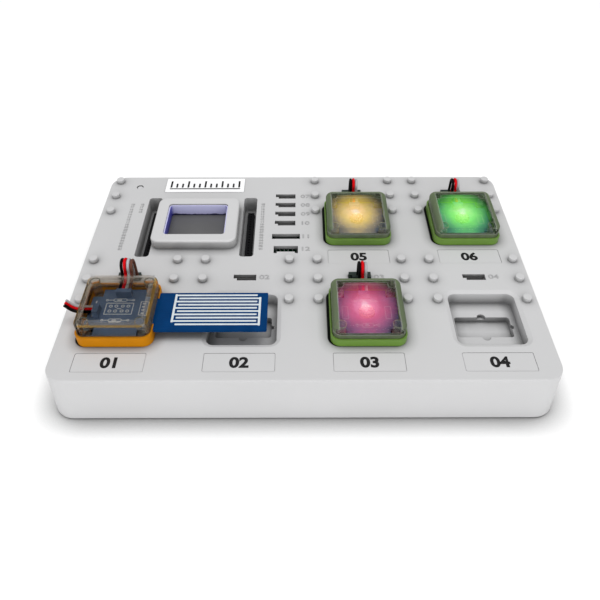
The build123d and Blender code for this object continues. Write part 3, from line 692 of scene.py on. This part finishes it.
class CODING_BOARD_OT_display(bpy.types.Operator):
    """Finish the display: glossy bezel, blue inner lining and dark screen"""
    bl_idname = "coding_board.display"
    bl_label = "Display"

    def execute(self, context):
        # Painted shade in the bezel's corners, which also darkens its front wall
        dress(moulded("bezel_white", (0.55, 0.55, 0.555), 0.3, 0.01, 0.03, 0.001, 0.000004, 0.0003,
                      edge_light=0.05, roughness_play=0.04, specular=0.35, shade_reach=0.009, shade_sky_share=0.56,
                      shade_factor=0.33), "display_bezel")

        lining, shader = new_material("lining_blue")
        height = axes(lining, place_on_piece(lining))[2]
        height = rise(lining, height, LINING_FOOT, LINING_TOP)
        height = arithmetic(lining, "ADD", height, wander(lining, 0.004, -0.05, 0.05))
        pale = ramp(lining, height, [(0.0, screen(8, 8, 60)), (0.1, screen(10, 10, 70)),
                                     (0.16, screen(196, 196, 232)), (1.0, screen(204, 204, 238))])
        # Painted shade: the side walls take a deeper, darker blue than the back wall
        shaded_blue = ramp(lining, height, [(0.0, screen(20, 20, 120)), (1.0, screen(96, 96, 200))])
        normal = add_node(lining, "NewGeometry", {}).outputs["Normal"]
        side_wall_shade = arithmetic(lining, "ABSOLUTE", axes(lining, normal)[0])
        feed(lining, shader, {"Base Color": blend_colours(lining, side_wall_shade, pale, shaded_blue),
                              "Roughness": wander(lining, 0.001, 0.3, 0.45)})
        grain(lining, shader, noise(lining, 0.0004), 0.00001)
        dress(lining, "display_lining")

        glass, shader = new_material("screen_grey")
        tint = ramp(glass, noise(glass, 0.02), [(0.3, screen(88, 88, 88)), (0.7, screen(96, 96, 96))])
        rough = wander(glass, 0.003, 0.35, 0.45)
        feed(glass, shader, {"Base Color": tint, "Roughness": rough, "Specular IOR Level": 0.25})
        grain(glass, shader, noise(glass, 0.01), 0.000002)
        dress(glass, "display_screen")
        return {"FINISHED"}


# Sockets, headers and inner boards

class CODING_BOARD_OT_connectors(bpy.types.Operator):
    """Finish the ports, header strips, pins and the socket in the back wall"""
    bl_idname = "coding_board.connectors"
    bl_label = "Connectors"

    def execute(self, context):
        sockets = ["port_socket_" + str(number) for number in range(1, 7)]
        # Painted light: the sockets are a lighter grey than their black plastic, to show light in the dim
        # ports
        dress(moulded("socket_black", screen(150, 150, 152), 0.55, 0.08, 0.004, 0.0003, 0.00002, 0.00015,
                      edge_light=0.2), "side_sockets", *sockets)
        dress(moulded("header_black", screen(20, 20, 22), 0.6, 0.1, 0.004, 0.0004, 0.00001, specular=0.05),
              "header_left", "header_right", "display_header")
        # Painted light: the strips deep in the wide slots are a pale grey in place of their dark plastic
        dress(moulded("strip_grey", screen(206, 206, 208), 0.6, 0.1, 0.004, 0.0004, 0.00001, specular=0.1),
              "serial_header", "expansion_header")
        dress(metal("pin_gold", screen(214, 170, 88), 0.22, (1.0, 1.0, 0.2), 0.0003), "port_pins")
        dress(metal("usb_metal", screen(190, 192, 196), 0.28, (1.0, 0.15, 1.0), 0.0008), "usb_socket")
        return {"FINISHED"}


def circuit_board_material(name, colour, line_gain, gloss=0.15):
    """Solder mask over copper: slightly raised tracks in rows, glossy with a fine weave."""
    material, shader = new_material(name)
    tracks = add_node(material, "TexBrick", {
        "Vector": place_on_piece(material), "Scale": 1.0, "Brick Width": 0.0051, "Row Height": 0.00127,
        "Mortar Size": 0.00014, "Mortar Smooth": 0.3}).outputs["Fac"]
    drift = noise(material, 0.006, 3.0)
    tint = drifting(material, drift, colour, 0.9, 1.1)
    tint = blend_colours(material, product(material, tracks, 0.5), tint, scaled(colour, line_gain))
    rough = spread(material, drift, 0.28, 0.42)
    feed(material, shader, {"Base Color": tint, "Roughness": rough, "Specular IOR Level": gloss})
    weave = arithmetic(material, "ADD", tracks, noise(material, 0.0003))
    grain(material, shader, weave, 0.00001)
    return material, shader


class CODING_BOARD_OT_inner_boards(bpy.types.Operator):
    """Finish what stands inside the case: main board, display board, chip, capacitors and switch"""
    bl_idname = "coding_board.inner_boards"
    bl_label = "Inner boards"

    def execute(self, context):
        board, _ = circuit_board_material("board_green", screen(28, 92, 62), 1.5)
        dress(board, "main_board", "display_board")
        dress(moulded("chip_black", screen(30, 30, 32), 0.6, 0.1, 0.003, 0.0003, 0.00002, 0.0001,
                      edge_light=0.2), "main_chip", "board_capacitors")
        dress(moulded("switch_black", screen(34, 34, 36), 0.5, 0.1, 0.003, 0.0003, 0.00001), "reset_switch")
        return {"FINISHED"}


# Clip-in modules

# Heights in the modules: tops of the circuit boards, top of a lamp, and feet of the lids' walls
LIT_BOARD_Z = DECK_Z + 3.3 * MM
RAIN_BOARD_Z = DECK_Z + 4.4 * MM
LAMP_Z = DECK_Z + 9.4 * MM
LIT_WALL_Z = DECK_Z + 7.0 * MM
RAIN_WALL_Z = DECK_Z + 6.8 * MM

# Steps in a lid, from the middle of its inner top face: up into the top, and outward into the walls,
# into the posts and into an amber rim, which is narrower in front
TOP_STEP = (-0.3 * MM, -0.1 * MM)
WALL_STEP = (16.7 * MM, 17.0 * MM)
POST_STEP = (11.3 * MM, 11.6 * MM)
RIM_STEP = (17.0 * MM, 17.2 * MM)
RIM_INSET = 0.6 * MM

# Reach of a profile from 0 to 1, blur of the cloud at the walls' foot, and the line drawn there
PROFILE_REACH = 20 * MM
FOOT_BLUR = 0.3 * MM
FOOT_LINE = (0.3 * MM, 0.6 * MM)

# How far the painted light of the lamp spreads in a lid, how the lamp's place and form bend it, and
# where it fades out: up into the top, and into the front and back walls
GLOW_REACH = 17.5 * MM
GLOW_SHIFT = (1.2 * MM, 1.5 * MM, 0.0)
GLOW_STRETCH = (1.0, 0.8, 0.25)
GLOW_HEIGHT = (0.3 * MM, 0.6 * MM)
GLOW_DEPTH = (17.2 * MM, 17.6 * MM)
BLACK = (0.0, 0.0, 0.0)

# Place of a post from its lid's middle, its moulded rim's width and corner radius outside and inside,
# the rim's height, and its gap to the ceiling
POST_PLACE = 14.1 * MM
POST_RIM = ((5.4 * MM, 2.69 * MM), (4.86 * MM, 2.42 * MM))
POST_RIM_HEIGHT = 0.5 * MM
POST_RIM_GAP = 0.02 * MM


def lid_material(name, tint, rim_tint, wall_tint, line_tint, ceiling, profile, wall_cloud, foot_height,
                 clearness, post_cloud=0.3, painted_frame_amber=None, painted_glow=None):
    """Clear cast plastic, clouded at its rim, at its foot and in every wall but the front one.

    Ceiling is the middle of the inner top face, and foot_height is measured from it. The profile holds
    how cloudy the top is from its middle outward, and clearness is what still shines through full cloud.
    The rim and wall tints and the amber edge are the frame's colour seen through the plastic, painted in.
    An amber edge colours the rim and the side walls. The lamp's light on the inner faces is painted on
    as emission.
    """
    material, shader = new_material(name)
    offset = vector_maths(material, "SUBTRACT", place_on_piece(material), ceiling)
    across, along, height = axes(material, offset)
    beside = arithmetic(material, "ABSOLUTE", across)
    before = arithmetic(material, "ABSOLUTE", along)
    outward = larger(material, beside, before)
    wall = rise(material, outward, *WALL_STEP)
    uneven = wander(material, 0.003, -0.15 * MM, 0.15 * MM)
    shut = arithmetic(material, "ADD", larger(material, beside, along), uneven)
    top = rise(material, height, *TOP_STEP)
    below = difference(material, 1.0, top)
    edge = rise(material, outward if painted_frame_amber else shut, 0.0, PROFILE_REACH)
    foot = spread(material, height, wall_cloud, 0.0, foot_height - FOOT_BLUR, foot_height + FOOT_BLUR)
    corner = rise(material, arithmetic(material, "MINIMUM", beside, before), *POST_STEP)
    post = product(material, corner, difference(material, below, wall))

    # How much cloud hides what is behind, from 0 to 1
    cloud = product(material, ramp(material, edge, profile), top)
    for part in (spread(material, shut, 0.0, wall_cloud, *WALL_STEP),
                 product(material, wall, foot),
                 product(material, post, post_cloud)):
        cloud = larger(material, cloud, part)

    drift = noise(material, 0.004, 3.0)
    window = drifting(material, drift, tint, 0.94, 1.0)
    # Painted highlight: the corner posts are lightened to near white
    window = blend_colours(material, post, window, (0.97, 0.97, 0.95))
    # Painted in: the frame's amber, as seen through the clear plastic, on the rim and the side walls
    if painted_frame_amber:
        back = rise(material, along, *WALL_STEP)
        window = blend_colours(material, back, window, (0.97, 0.96, 0.93))
        reach = difference(material, outward, RIM_INSET)
        reach = rise(material, larger(material, shut, reach), *RIM_STEP)
        ring = product(material, top, reach)
        side = product(material, below, spread(material, beside, 0.0, 0.5, *WALL_STEP))
        window = blend_colours(material, larger(material, ring, side), window, painted_frame_amber)
    bands = ramp(material, edge, [(0.74, line_tint), (0.77, line_tint), (0.79, rim_tint)])
    cloudy = blend_colours(material, top, drifting(material, drift, wall_tint, 0.85, 1.1), bands)
    from_foot = arithmetic(material, "ABSOLUTE", difference(material, height, foot_height))
    step = product(material, wall, fall(material, from_foot, *FOOT_LINE))
    cloudy = blend_colours(material, step, cloudy, line_tint)
    feed(material, shader, {
        "Base Color": blend_colours(material, cloud, window, cloudy), "IOR": 1.07,
        "Transmission Weight": spread(material, cloud, 1.0, clearness, 0.0, 1.0),
        "Roughness": spread(material, drift, 0.02, 0.07)})
    grain(material, shader, noise(material, 0.008, 1.0), 0.00002)
    # Painted light: the lamp's light as emission on the lid's inner faces, fading with distance and cloud
    if painted_glow:
        core, halo, fringe = painted_glow
        white = tuple(0.35 + 0.65 * channel for channel in core)
        distance = vector_maths(material, "ADD", offset, GLOW_SHIFT)
        distance = vector_maths(material, "MULTIPLY", distance, GLOW_STRETCH)
        distance = vector_maths(material, "LENGTH", distance)
        share = rise(material, distance, 0.0, GLOW_REACH)
        share = arithmetic(material, "ADD", share, wander(material, 0.002, -0.04, 0.04, 4.0))
        light = ramp(material, share, [(0.0, white), (0.05, white), (0.17, core), (0.45, halo),
                                       (0.8, fringe), (1.0, BLACK)])
        lit = product(material, fall(material, height, *GLOW_HEIGHT), fall(material, before, *GLOW_DEPTH))
        lit = product(material, lit, difference(material, 1.0, cloud))
        light = blend_colours(material, lit, BLACK, light)
        feed(material, shader, {"Emission Color": light, "Emission Strength": 1.0})
    return material


def lid_ceiling(module, cell):
    """Middle of the inner top face of a module's lid."""
    return (cell[0] + MODULE_SHIFT, cell[1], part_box(module + "_lid")[1].z - LID_THICKNESS)


def module_board_material(name, colour, painted_glow, centre, radius, strength):
    """Circuit board under a lamp, whose light is painted on: it fades from a pale middle to the corners."""
    material, shader = circuit_board_material(name, colour, 1.15)
    distance = vector_maths(material, "DISTANCE", place_on_piece(material), centre)
    share = rise(material, distance, 0.0, radius)
    share = arithmetic(material, "ADD", share, wander(material, 0.003, -0.05, 0.05, 3.0))
    core, middle, rim = painted_glow
    light = ramp(material, share, [(0.0, core), (0.35, middle), (0.75, rim), (1.0, BLACK)])
    feed(material, shader, {"Emission Color": light, "Emission Strength": strength})
    return material


def lamp_material(name, core, skin, strength):
    """Lit lamp body: brightest at its dome."""
    material, shader = new_material(name)
    drift = noise(material, 0.002)
    height = axes(material, place_on_piece(material))[2]
    height = rise(material, height, LIT_BOARD_Z, LAMP_Z)
    feed(material, shader, {
        "Base Color": drifting(material, drift, skin, 0.9, 1.0),
        "Roughness": spread(material, drift, 0.15, 0.3),
        "Emission Color": ramp(material, height, [(0.0, skin), (0.9, core)]), "Emission Strength": strength,
        "Transmission Weight": 0.85, "IOR": 1.1})
    return material


# Painted light from the middle to the rim of each lit module, and the colours of its lamp
PAINTED_GLOWS = {
    "amber": ((0.90, 0.58, 0.22), (0.64, 0.43, 0.08), (0.17, 0.12, 0.05)),
    "green": ((0.38, 0.86, 0.20), (0.17, 0.66, 0.07), (0.03, 0.20, 0.04)),
    "pink": ((0.80, 0.22, 0.34), (0.50, 0.05, 0.12), (0.18, 0.03, 0.08)),
}
LAMPS = {
    "amber": ((1.0, 0.75, 0.4), (0.90, 0.80, 0.62)),
    "green": ((0.5, 1.0, 0.45), (0.70, 0.90, 0.70)),
    "pink": ((1.0, 0.5, 0.65), (0.90, 0.68, 0.72)),
}

# How cloudy a lid's top is, from its middle outward. Each stop is a place and a grey level.
LIT_PROFILE = [(place, (level, level, level)) for place, level in ((0.745, 0.0), (0.78, 1.0))]
RAIN_PROFILE = [(place, (level, level, level)) for place, level in (
    (0.74, 0.0), (0.76, 0.25), (0.79, 0.06), (0.875, 0.08), (0.895, 0.3), (1.0, 0.4))]


def add_resistor_print(form, centre, length, low, high):
    """Printed symbol of a resistor: a lens shape with a line and a pad at each end."""
    x, y = centre
    line = 0.4 * MM
    outer = rounded_outline(centre, length * 0.48, 2.2 * MM, 1.0 * MM, 3)
    inner = rounded_outline(centre, length * 0.48 - 2 * line, 2.2 * MM - 2 * line, 0.6 * MM, 3)
    add_ring(form, outer, inner, low, high)
    add_slab(form, (x - 0.5 * MM, y), length * 0.16, 0.9 * MM, low, high, 0.3 * MM, 2)
    for side in (-1, 1):
        wire = length * 0.16
        add_slab(form, (x + side * (length * 0.24 + wire / 2), y), wire, line, low, high)
        pad = (x + side * (length * 0.5 - 0.75 * MM), y)
        add_washer(form, pad, (1.5 * MM, 0.74 * MM), (0.7 * MM, 0.34 * MM), low, high)


def add_post_rims(module, centre):
    """Moulded rims round the tops of the lid's four corner posts, just under its ceiling."""
    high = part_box(module + "_lid")[1].z - LID_THICKNESS - POST_RIM_GAP
    form = bmesh.new()
    for side_x in (-1, 1):
        for side_y in (-1, 1):
            post = (centre[0] + side_x * POST_PLACE, centre[1] + side_y * POST_PLACE)
            add_washer(form, post, *POST_RIM, high - POST_RIM_HEIGHT, high, 6)
    add_piece(module + "_post_rims", form, finishes["post_rim"], module + "_module")


class CODING_BOARD_OT_lit_modules(bpy.types.Operator):
    """Finish the three lit modules: frame, clear lid, board with the lamp's light painted on, lamp, plug"""
    bl_idname = "coding_board.lit_modules"
    bl_label = "Lit modules"

    def execute(self, context):
        settings = context.scene.coding_board_modules
        case = moulded("case_black", screen(7, 9, 7), 0.6, 0.1, 0.01, 0.0004, 0.00001, specular=0.05)
        frame_green = moulded("frame_green", tuple(settings.lit_frame_colour), 0.35, 0.05, 0.008, 0.0005,
                              0.000008, 0.0005, edge_light=0.15)
        plug = moulded("plug_black", screen(24, 38, 33), 0.5, 0.1, 0.003, 0.0003, 0.00001, 0.0002,
                       edge_light=0.3, specular=0.25)
        slate = tuple(settings.board_colour)
        # The frame's olive, painted into the lids' rims and walls as seen through the clear plastic
        painted_frame_olive = screen(124, 138, 108)
        moulded("board_print", screen(198, 202, 208), 0.6, 0.08, 0.002, 0.0003, 0.000006)
        silk = moulded("lit_board_print", screen(112, 118, 138), 0.6, 0.1, 0.002, 0.0003, 0.000006)
        moulded("post_rim", screen(128, 130, 116), 0.35, 0.15, 0.002, 0.0004, 0.00001)
        for module, (x, y) in LIT_MODULES.items():
            centre = (x + MODULE_SHIFT, y, LIT_BOARD_Z)
            board = module_board_material(module + "_board_slate", slate, PAINTED_GLOWS[module], centre,
                                          settings.glow_radius, settings.glow_strength)
            dress(case, module + "_under_case")
            dress(frame_green, module + "_frame")
            ceiling = lid_ceiling(module, (x, y))
            lid = lid_material("lid_clear_" + module, (0.77, 0.79, 0.77), painted_frame_olive, painted_frame_olive,
                               screen(162, 168, 152), ceiling, LIT_PROFILE, wall_cloud=1.0,
                               foot_height=LIT_WALL_Z - ceiling[2], clearness=0.5, painted_glow=PAINTED_GLOWS[module])
            dress(lid, module + "_lid")
            dress(board, module + "_circuit_board")
            dress(lamp_material("led_" + module, *LAMPS[module], settings.lamp_strength), module + "_led")
            dress(plug, module + "_plug")
            add_post_rims(module, centre)
            low, high = print_span(centre[2])
            form = bmesh.new()
            for side in (-1, 1):
                add_resistor_print(form, (centre[0], centre[1] + side * 8.4 * MM), 12.6 * MM, low, high)
                add_frame(form, (centre[0] + side * 11.2 * MM, centre[1]), 3.4 * MM, 9.0 * MM, 0.4 * MM,
                          low, high)
            add_piece(module + "_board_print", form, silk, module + "_module")
        return {"FINISHED"}


class CODING_BOARD_OT_rain_module(bpy.types.Operator):
    """Finish the rain module: frame, clear lid, printed board, and the sensing plate with its comb"""
    bl_idname = "coding_board.rain_module"
    bl_label = "Rain module"

    def execute(self, context):
        settings = context.scene.coding_board_modules
        dress(finishes["case_black"], "rain_under_case")
        dress(moulded("frame_orange", tuple(settings.rain_frame_colour), 0.4, 0.06, 0.008, 0.0005,
                      0.000008, 0.0005, edge_light=0.12, specular=0.1), "rain_frame")
        ceiling = lid_ceiling("rain", RAIN_CELL)
        # The frame's amber, painted into the lid's rim, walls and edge as seen through the clear plastic
        lid = lid_material("lid_clear_rain", (0.68, 0.67, 0.64), screen(150, 98, 26), screen(146, 106, 50),
                           screen(120, 88, 38), ceiling, RAIN_PROFILE, wall_cloud=0.14,
                           foot_height=RAIN_WALL_Z - ceiling[2], clearness=0.15, post_cloud=0.1,
                           painted_frame_amber=(0.66, 0.42, 0.12))
        dress(lid, "rain_lid")
        slate, _ = circuit_board_material("board_slate", screen(86, 104, 134), 1.15)
        dress(slate, "rain_circuit_board")
        dress(finishes["plug_black"], "rain_plug")
        blue, _ = circuit_board_material("plate_blue", tuple(settings.plate_colour), 1.12, 0.04)
        dress(blue, "rain_plate")
        add_post_rims("rain", ceiling)

        # Print on the circuit board
        low, high = print_span(RAIN_BOARD_Z)
        form = bmesh.new()
        x = -96.3 * MM
        add_frame(form, (x, -41.4 * MM), 14.6 * MM, 8.4 * MM, 0.45 * MM, low, high)
        for row in (-39.6 * MM, -43.1 * MM):
            for column in (-4.6, -1.7, 1.7, 4.6):
                pad = (x + column * MM, row)
                add_washer(form, pad, (2.0 * MM, 0.98 * MM), (1.1 * MM, 0.54 * MM), low, high)
        add_slab(form, (x, -41.4 * MM), 2.4 * MM, 0.5 * MM, low, high, 0.2 * MM, 2)
        add_resistor_print(form, (-96.7 * MM, -35.2 * MM), 15.4 * MM, low, high)
        add_resistor_print(form, (-96.8 * MM, -49.6 * MM), 14.8 * MM, low, high)
        add_frame(form, (-83.7 * MM, -41.2 * MM), 3.9 * MM, 10.0 * MM, 0.4 * MM, low, high)
        for row in (-37.8, -40.1, -42.4, -44.7):
            add_slab(form, (-83.7 * MM, row * MM), 1.6 * MM, 1.0 * MM, low, high, 0.4 * MM, 2)
        for row, depth in ((-37.2, 3.2), (-41.6, 2.2), (-45.6, 3.0)):
            add_slab(form, (-109.0 * MM, row * MM), 0.7 * MM, depth * MM, low, high, 0.2 * MM, 2)
        add_slab(form, (-110.8 * MM, -41.5 * MM), 1.3 * MM, 1.3 * MM, low, high, 0.5 * MM, 2)
        add_piece("rain_board_print", form, finishes["board_print"], "rain_module")

        # Comb of bare tracks on the sensing plate
        tin = moulded("comb_tin", screen(200, 208, 212), 0.3, 0.05, 0.004, 0.0003, 0.000008)
        low, high = print_span(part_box("rain_plate")[1].z)
        form = bmesh.new()
        line = 1.15 * MM
        lift = 0.01 * MM
        left, right = -67.15 * MM, -22.9 * MM
        rows = [(-33.15 - 2.3 * i) * MM for i in range(10)]
        for x, first, last in ((left, rows[0], rows[8]), (right, rows[1], rows[9])):
            add_slab(form, (x, (first + last) / 2), line, first - last + 1.8 * MM, low, high, 0.3 * MM, 2)
        for number, row in enumerate(rows):
            start, end = (left, right - 1.4 * MM) if number % 2 == 0 else (left + 1.7 * MM, right)
            add_slab(form, ((start + end) / 2, row), end - start, line * 0.95, low - lift, high + lift,
                     0.3 * MM, 2)
        add_piece("plate_comb", form, tin, "rain_module")
        return {"FINISHED"}


# Scale on the title label: its marks, their pitch in millimetres, and the depth of long and short ones
SCALE_MARKS = 13
SCALE_PITCH = 3.7
SCALE_LONG = 7.2 * MM
SCALE_SHORT = 4.4 * MM


class CODING_BOARD_OT_title_label(bpy.types.Operator):
    """Finish the film label at the back, with a plain printed scale"""
    bl_idname = "coding_board.title_label"
    bl_label = "Title label"

    def execute(self, context):
        film = moulded("label_white", (0.92, 0.92, 0.93), 0.4, 0.01, 0.02, 0.0006, 0.000006)
        dress(film, "title_label")
        low_corner, high_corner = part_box("title_label")
        middle = (low_corner + high_corner) / 2
        low, high = print_span(high_corner.z)
        form = bmesh.new()
        add_slab(form, (middle.x, middle.y - 3.9 * MM), 46.0 * MM, 1.0 * MM, low, high, 0.4 * MM, 2)
        for mark in range(SCALE_MARKS):
            x = middle.x + (mark - SCALE_MARKS // 2) * SCALE_PITCH * MM
            depth = SCALE_LONG if mark % 3 == 0 else SCALE_SHORT
            add_slab(form, (x, middle.y - 2.6 * MM + depth / 2), 1.2 * MM, depth, low, high, 0.3 * MM, 2)
        add_piece("title_scale", form, finishes["number_ink"], "board")
        return {"FINISHED"}


class CODING_BOARD_OT_reset_button(bpy.types.Operator):
    """Finish the small reset button with its plunger"""
    bl_idname = "coding_board.reset_button"
    bl_label = "Reset button"

    def execute(self, context):
        dress(moulded("reset_grey", screen(196, 196, 198), 0.45, 0.05, 0.002, 0.0003, 0.000008, 0.0001,
                      edge_light=0.1), "reset_cap", "reset_plunger")
        return {"FINISHED"}


# Camera fitted to the photograph: its place in millimetres, and its turns in degrees, in order
CAMERA_PLACE = (-2.47, -264.46, 266.02)
CAMERA_TURNS = ((-0.121, "Z"), (44.587, "X"), (-0.039, "Z"))

# Soft lamps: name, place and size in metres, and the value that holds the power
SOFTBOXES = (("overhead_softbox", (0.05, 0.25, 1.7), (1.8, 0.8), "lamp_power"),
             ("front_softbox", (0.0, -1.6, 0.36), (1.8, 0.6), "fill_power"))


class CODING_BOARD_OT_stage(bpy.types.Operator):
    """Set the camera, the soft studio light and the pale floor"""
    bl_idname = "coding_board.stage"
    bl_label = "Stage"

    def execute(self, context):
        settings = context.scene.coding_board_stage
        camera_data = bpy.data.cameras.new("photo_view")
        camera_data.lens = settings.lens
        camera_data.sensor_width = 36.0
        camera_data.clip_start = 0.01
        camera = add_object("photo_view", camera_data)
        turn = Matrix.Identity(4)
        for angle, axis in CAMERA_TURNS:
            turn = turn @ Matrix.Rotation(radians(angle), 4, axis)
        camera.matrix_world = Matrix.Translation(Vector(CAMERA_PLACE) * MM) @ turn
        bpy.context.scene.camera = camera

        # Painted contact shadow on the floor round the board's foot
        paper = moulded("floor_paper", tuple(settings.floor_colour), 0.7, 0.004, 0.3, 0.002, 0.00001,
                        shade_reach=0.017, shade_sky_share=0.5, shade_factor=0.42)
        form = bmesh.new()
        bmesh.ops.create_grid(form, x_segments=6, y_segments=6, size=settings.floor_size / 2)
        mesh = bpy.data.meshes.new("floor")
        form.to_mesh(mesh)
        form.free()
        mesh.materials.append(paper)
        add_object("floor", mesh)

        for name, place, size, power in SOFTBOXES:
            lamp_data = bpy.data.lights.new(name, "AREA")
            lamp_data.shape = "RECTANGLE"
            lamp_data.size, lamp_data.size_y = size
            lamp_data.energy = getattr(settings, power)
            lamp = add_object(name, lamp_data)
            lamp.location = place
            lamp.rotation_euler = (-lamp.location).to_track_quat("-Z", "Y").to_euler()

        world = bpy.data.worlds.new("white_room")
        world.use_nodes = True
        background = world.node_tree.nodes["Background"]
        background.inputs["Color"].default_value = (1.0, 1.0, 1.0, 1.0)
        background.inputs["Strength"].default_value = settings.surround
        bpy.context.scene.world = world
        bpy.context.scene.view_settings.view_transform = "Standard"
        return {"FINISHED"}


class CODING_BOARD_PT_sidebar(bpy.types.Panel):
    """Steps and values of the coding board"""
    bl_label = "Coding board"
    bl_idname = "CODING_BOARD_PT_sidebar"
    bl_space_type = "VIEW_3D"
    bl_region_type = "UI"
    bl_category = "Board"

    def draw(self, context):
        for group_name in GROUPS:
            group = getattr(context.scene, group_name)
            box = self.layout.box()
            for name in group.__annotations__:
                box.prop(group, name)
        for operator in OPERATORS:
            self.layout.operator(operator.bl_idname)


GROUPS = {
    "coding_board_case": CodingBoardCase,
    "coding_board_modules": CodingBoardModules,
    "coding_board_print": CodingBoardPrint,
    "coding_board_leads": CodingBoardLeads,
    "coding_board_stage": CodingBoardStage,
}
OPERATORS = (
    CODING_BOARD_OT_stage,
    CODING_BOARD_OT_leads,
    CODING_BOARD_OT_case,
    CODING_BOARD_OT_numbers,
    CODING_BOARD_OT_display,
    CODING_BOARD_OT_connectors,
    CODING_BOARD_OT_inner_boards,
    CODING_BOARD_OT_lit_modules,
    CODING_BOARD_OT_rain_module,
    CODING_BOARD_OT_title_label,
    CODING_BOARD_OT_reset_button,
)


def register():
    for group_name, group in GROUPS.items():
        bpy.utils.register_class(group)
        setattr(bpy.types.Scene, group_name, bpy.props.PointerProperty(type=group))
    for operator in OPERATORS:
        bpy.utils.register_class(operator)
    bpy.utils.register_class(CODING_BOARD_PT_sidebar)


def unregister():
    bpy.utils.unregister_class(CODING_BOARD_PT_sidebar)
    for operator in reversed(OPERATORS):
        bpy.utils.unregister_class(operator)
    for group_name, group in reversed(list(GROUPS.items())):
        delattr(bpy.types.Scene, group_name)
        bpy.utils.unregister_class(group)


def main():
    register()
    bpy.ops.coding_board.stage()
    bpy.ops.coding_board.leads()
    bpy.ops.coding_board.case()
    bpy.ops.coding_board.numbers()
    bpy.ops.coding_board.display()
    bpy.ops.coding_board.connectors()
    bpy.ops.coding_board.inner_boards()
    bpy.ops.coding_board.lit_modules()
    bpy.ops.coding_board.rain_module()
    bpy.ops.coding_board.title_label()
    bpy.ops.coding_board.reset_button()


if __name__ == "__main__":
    main()
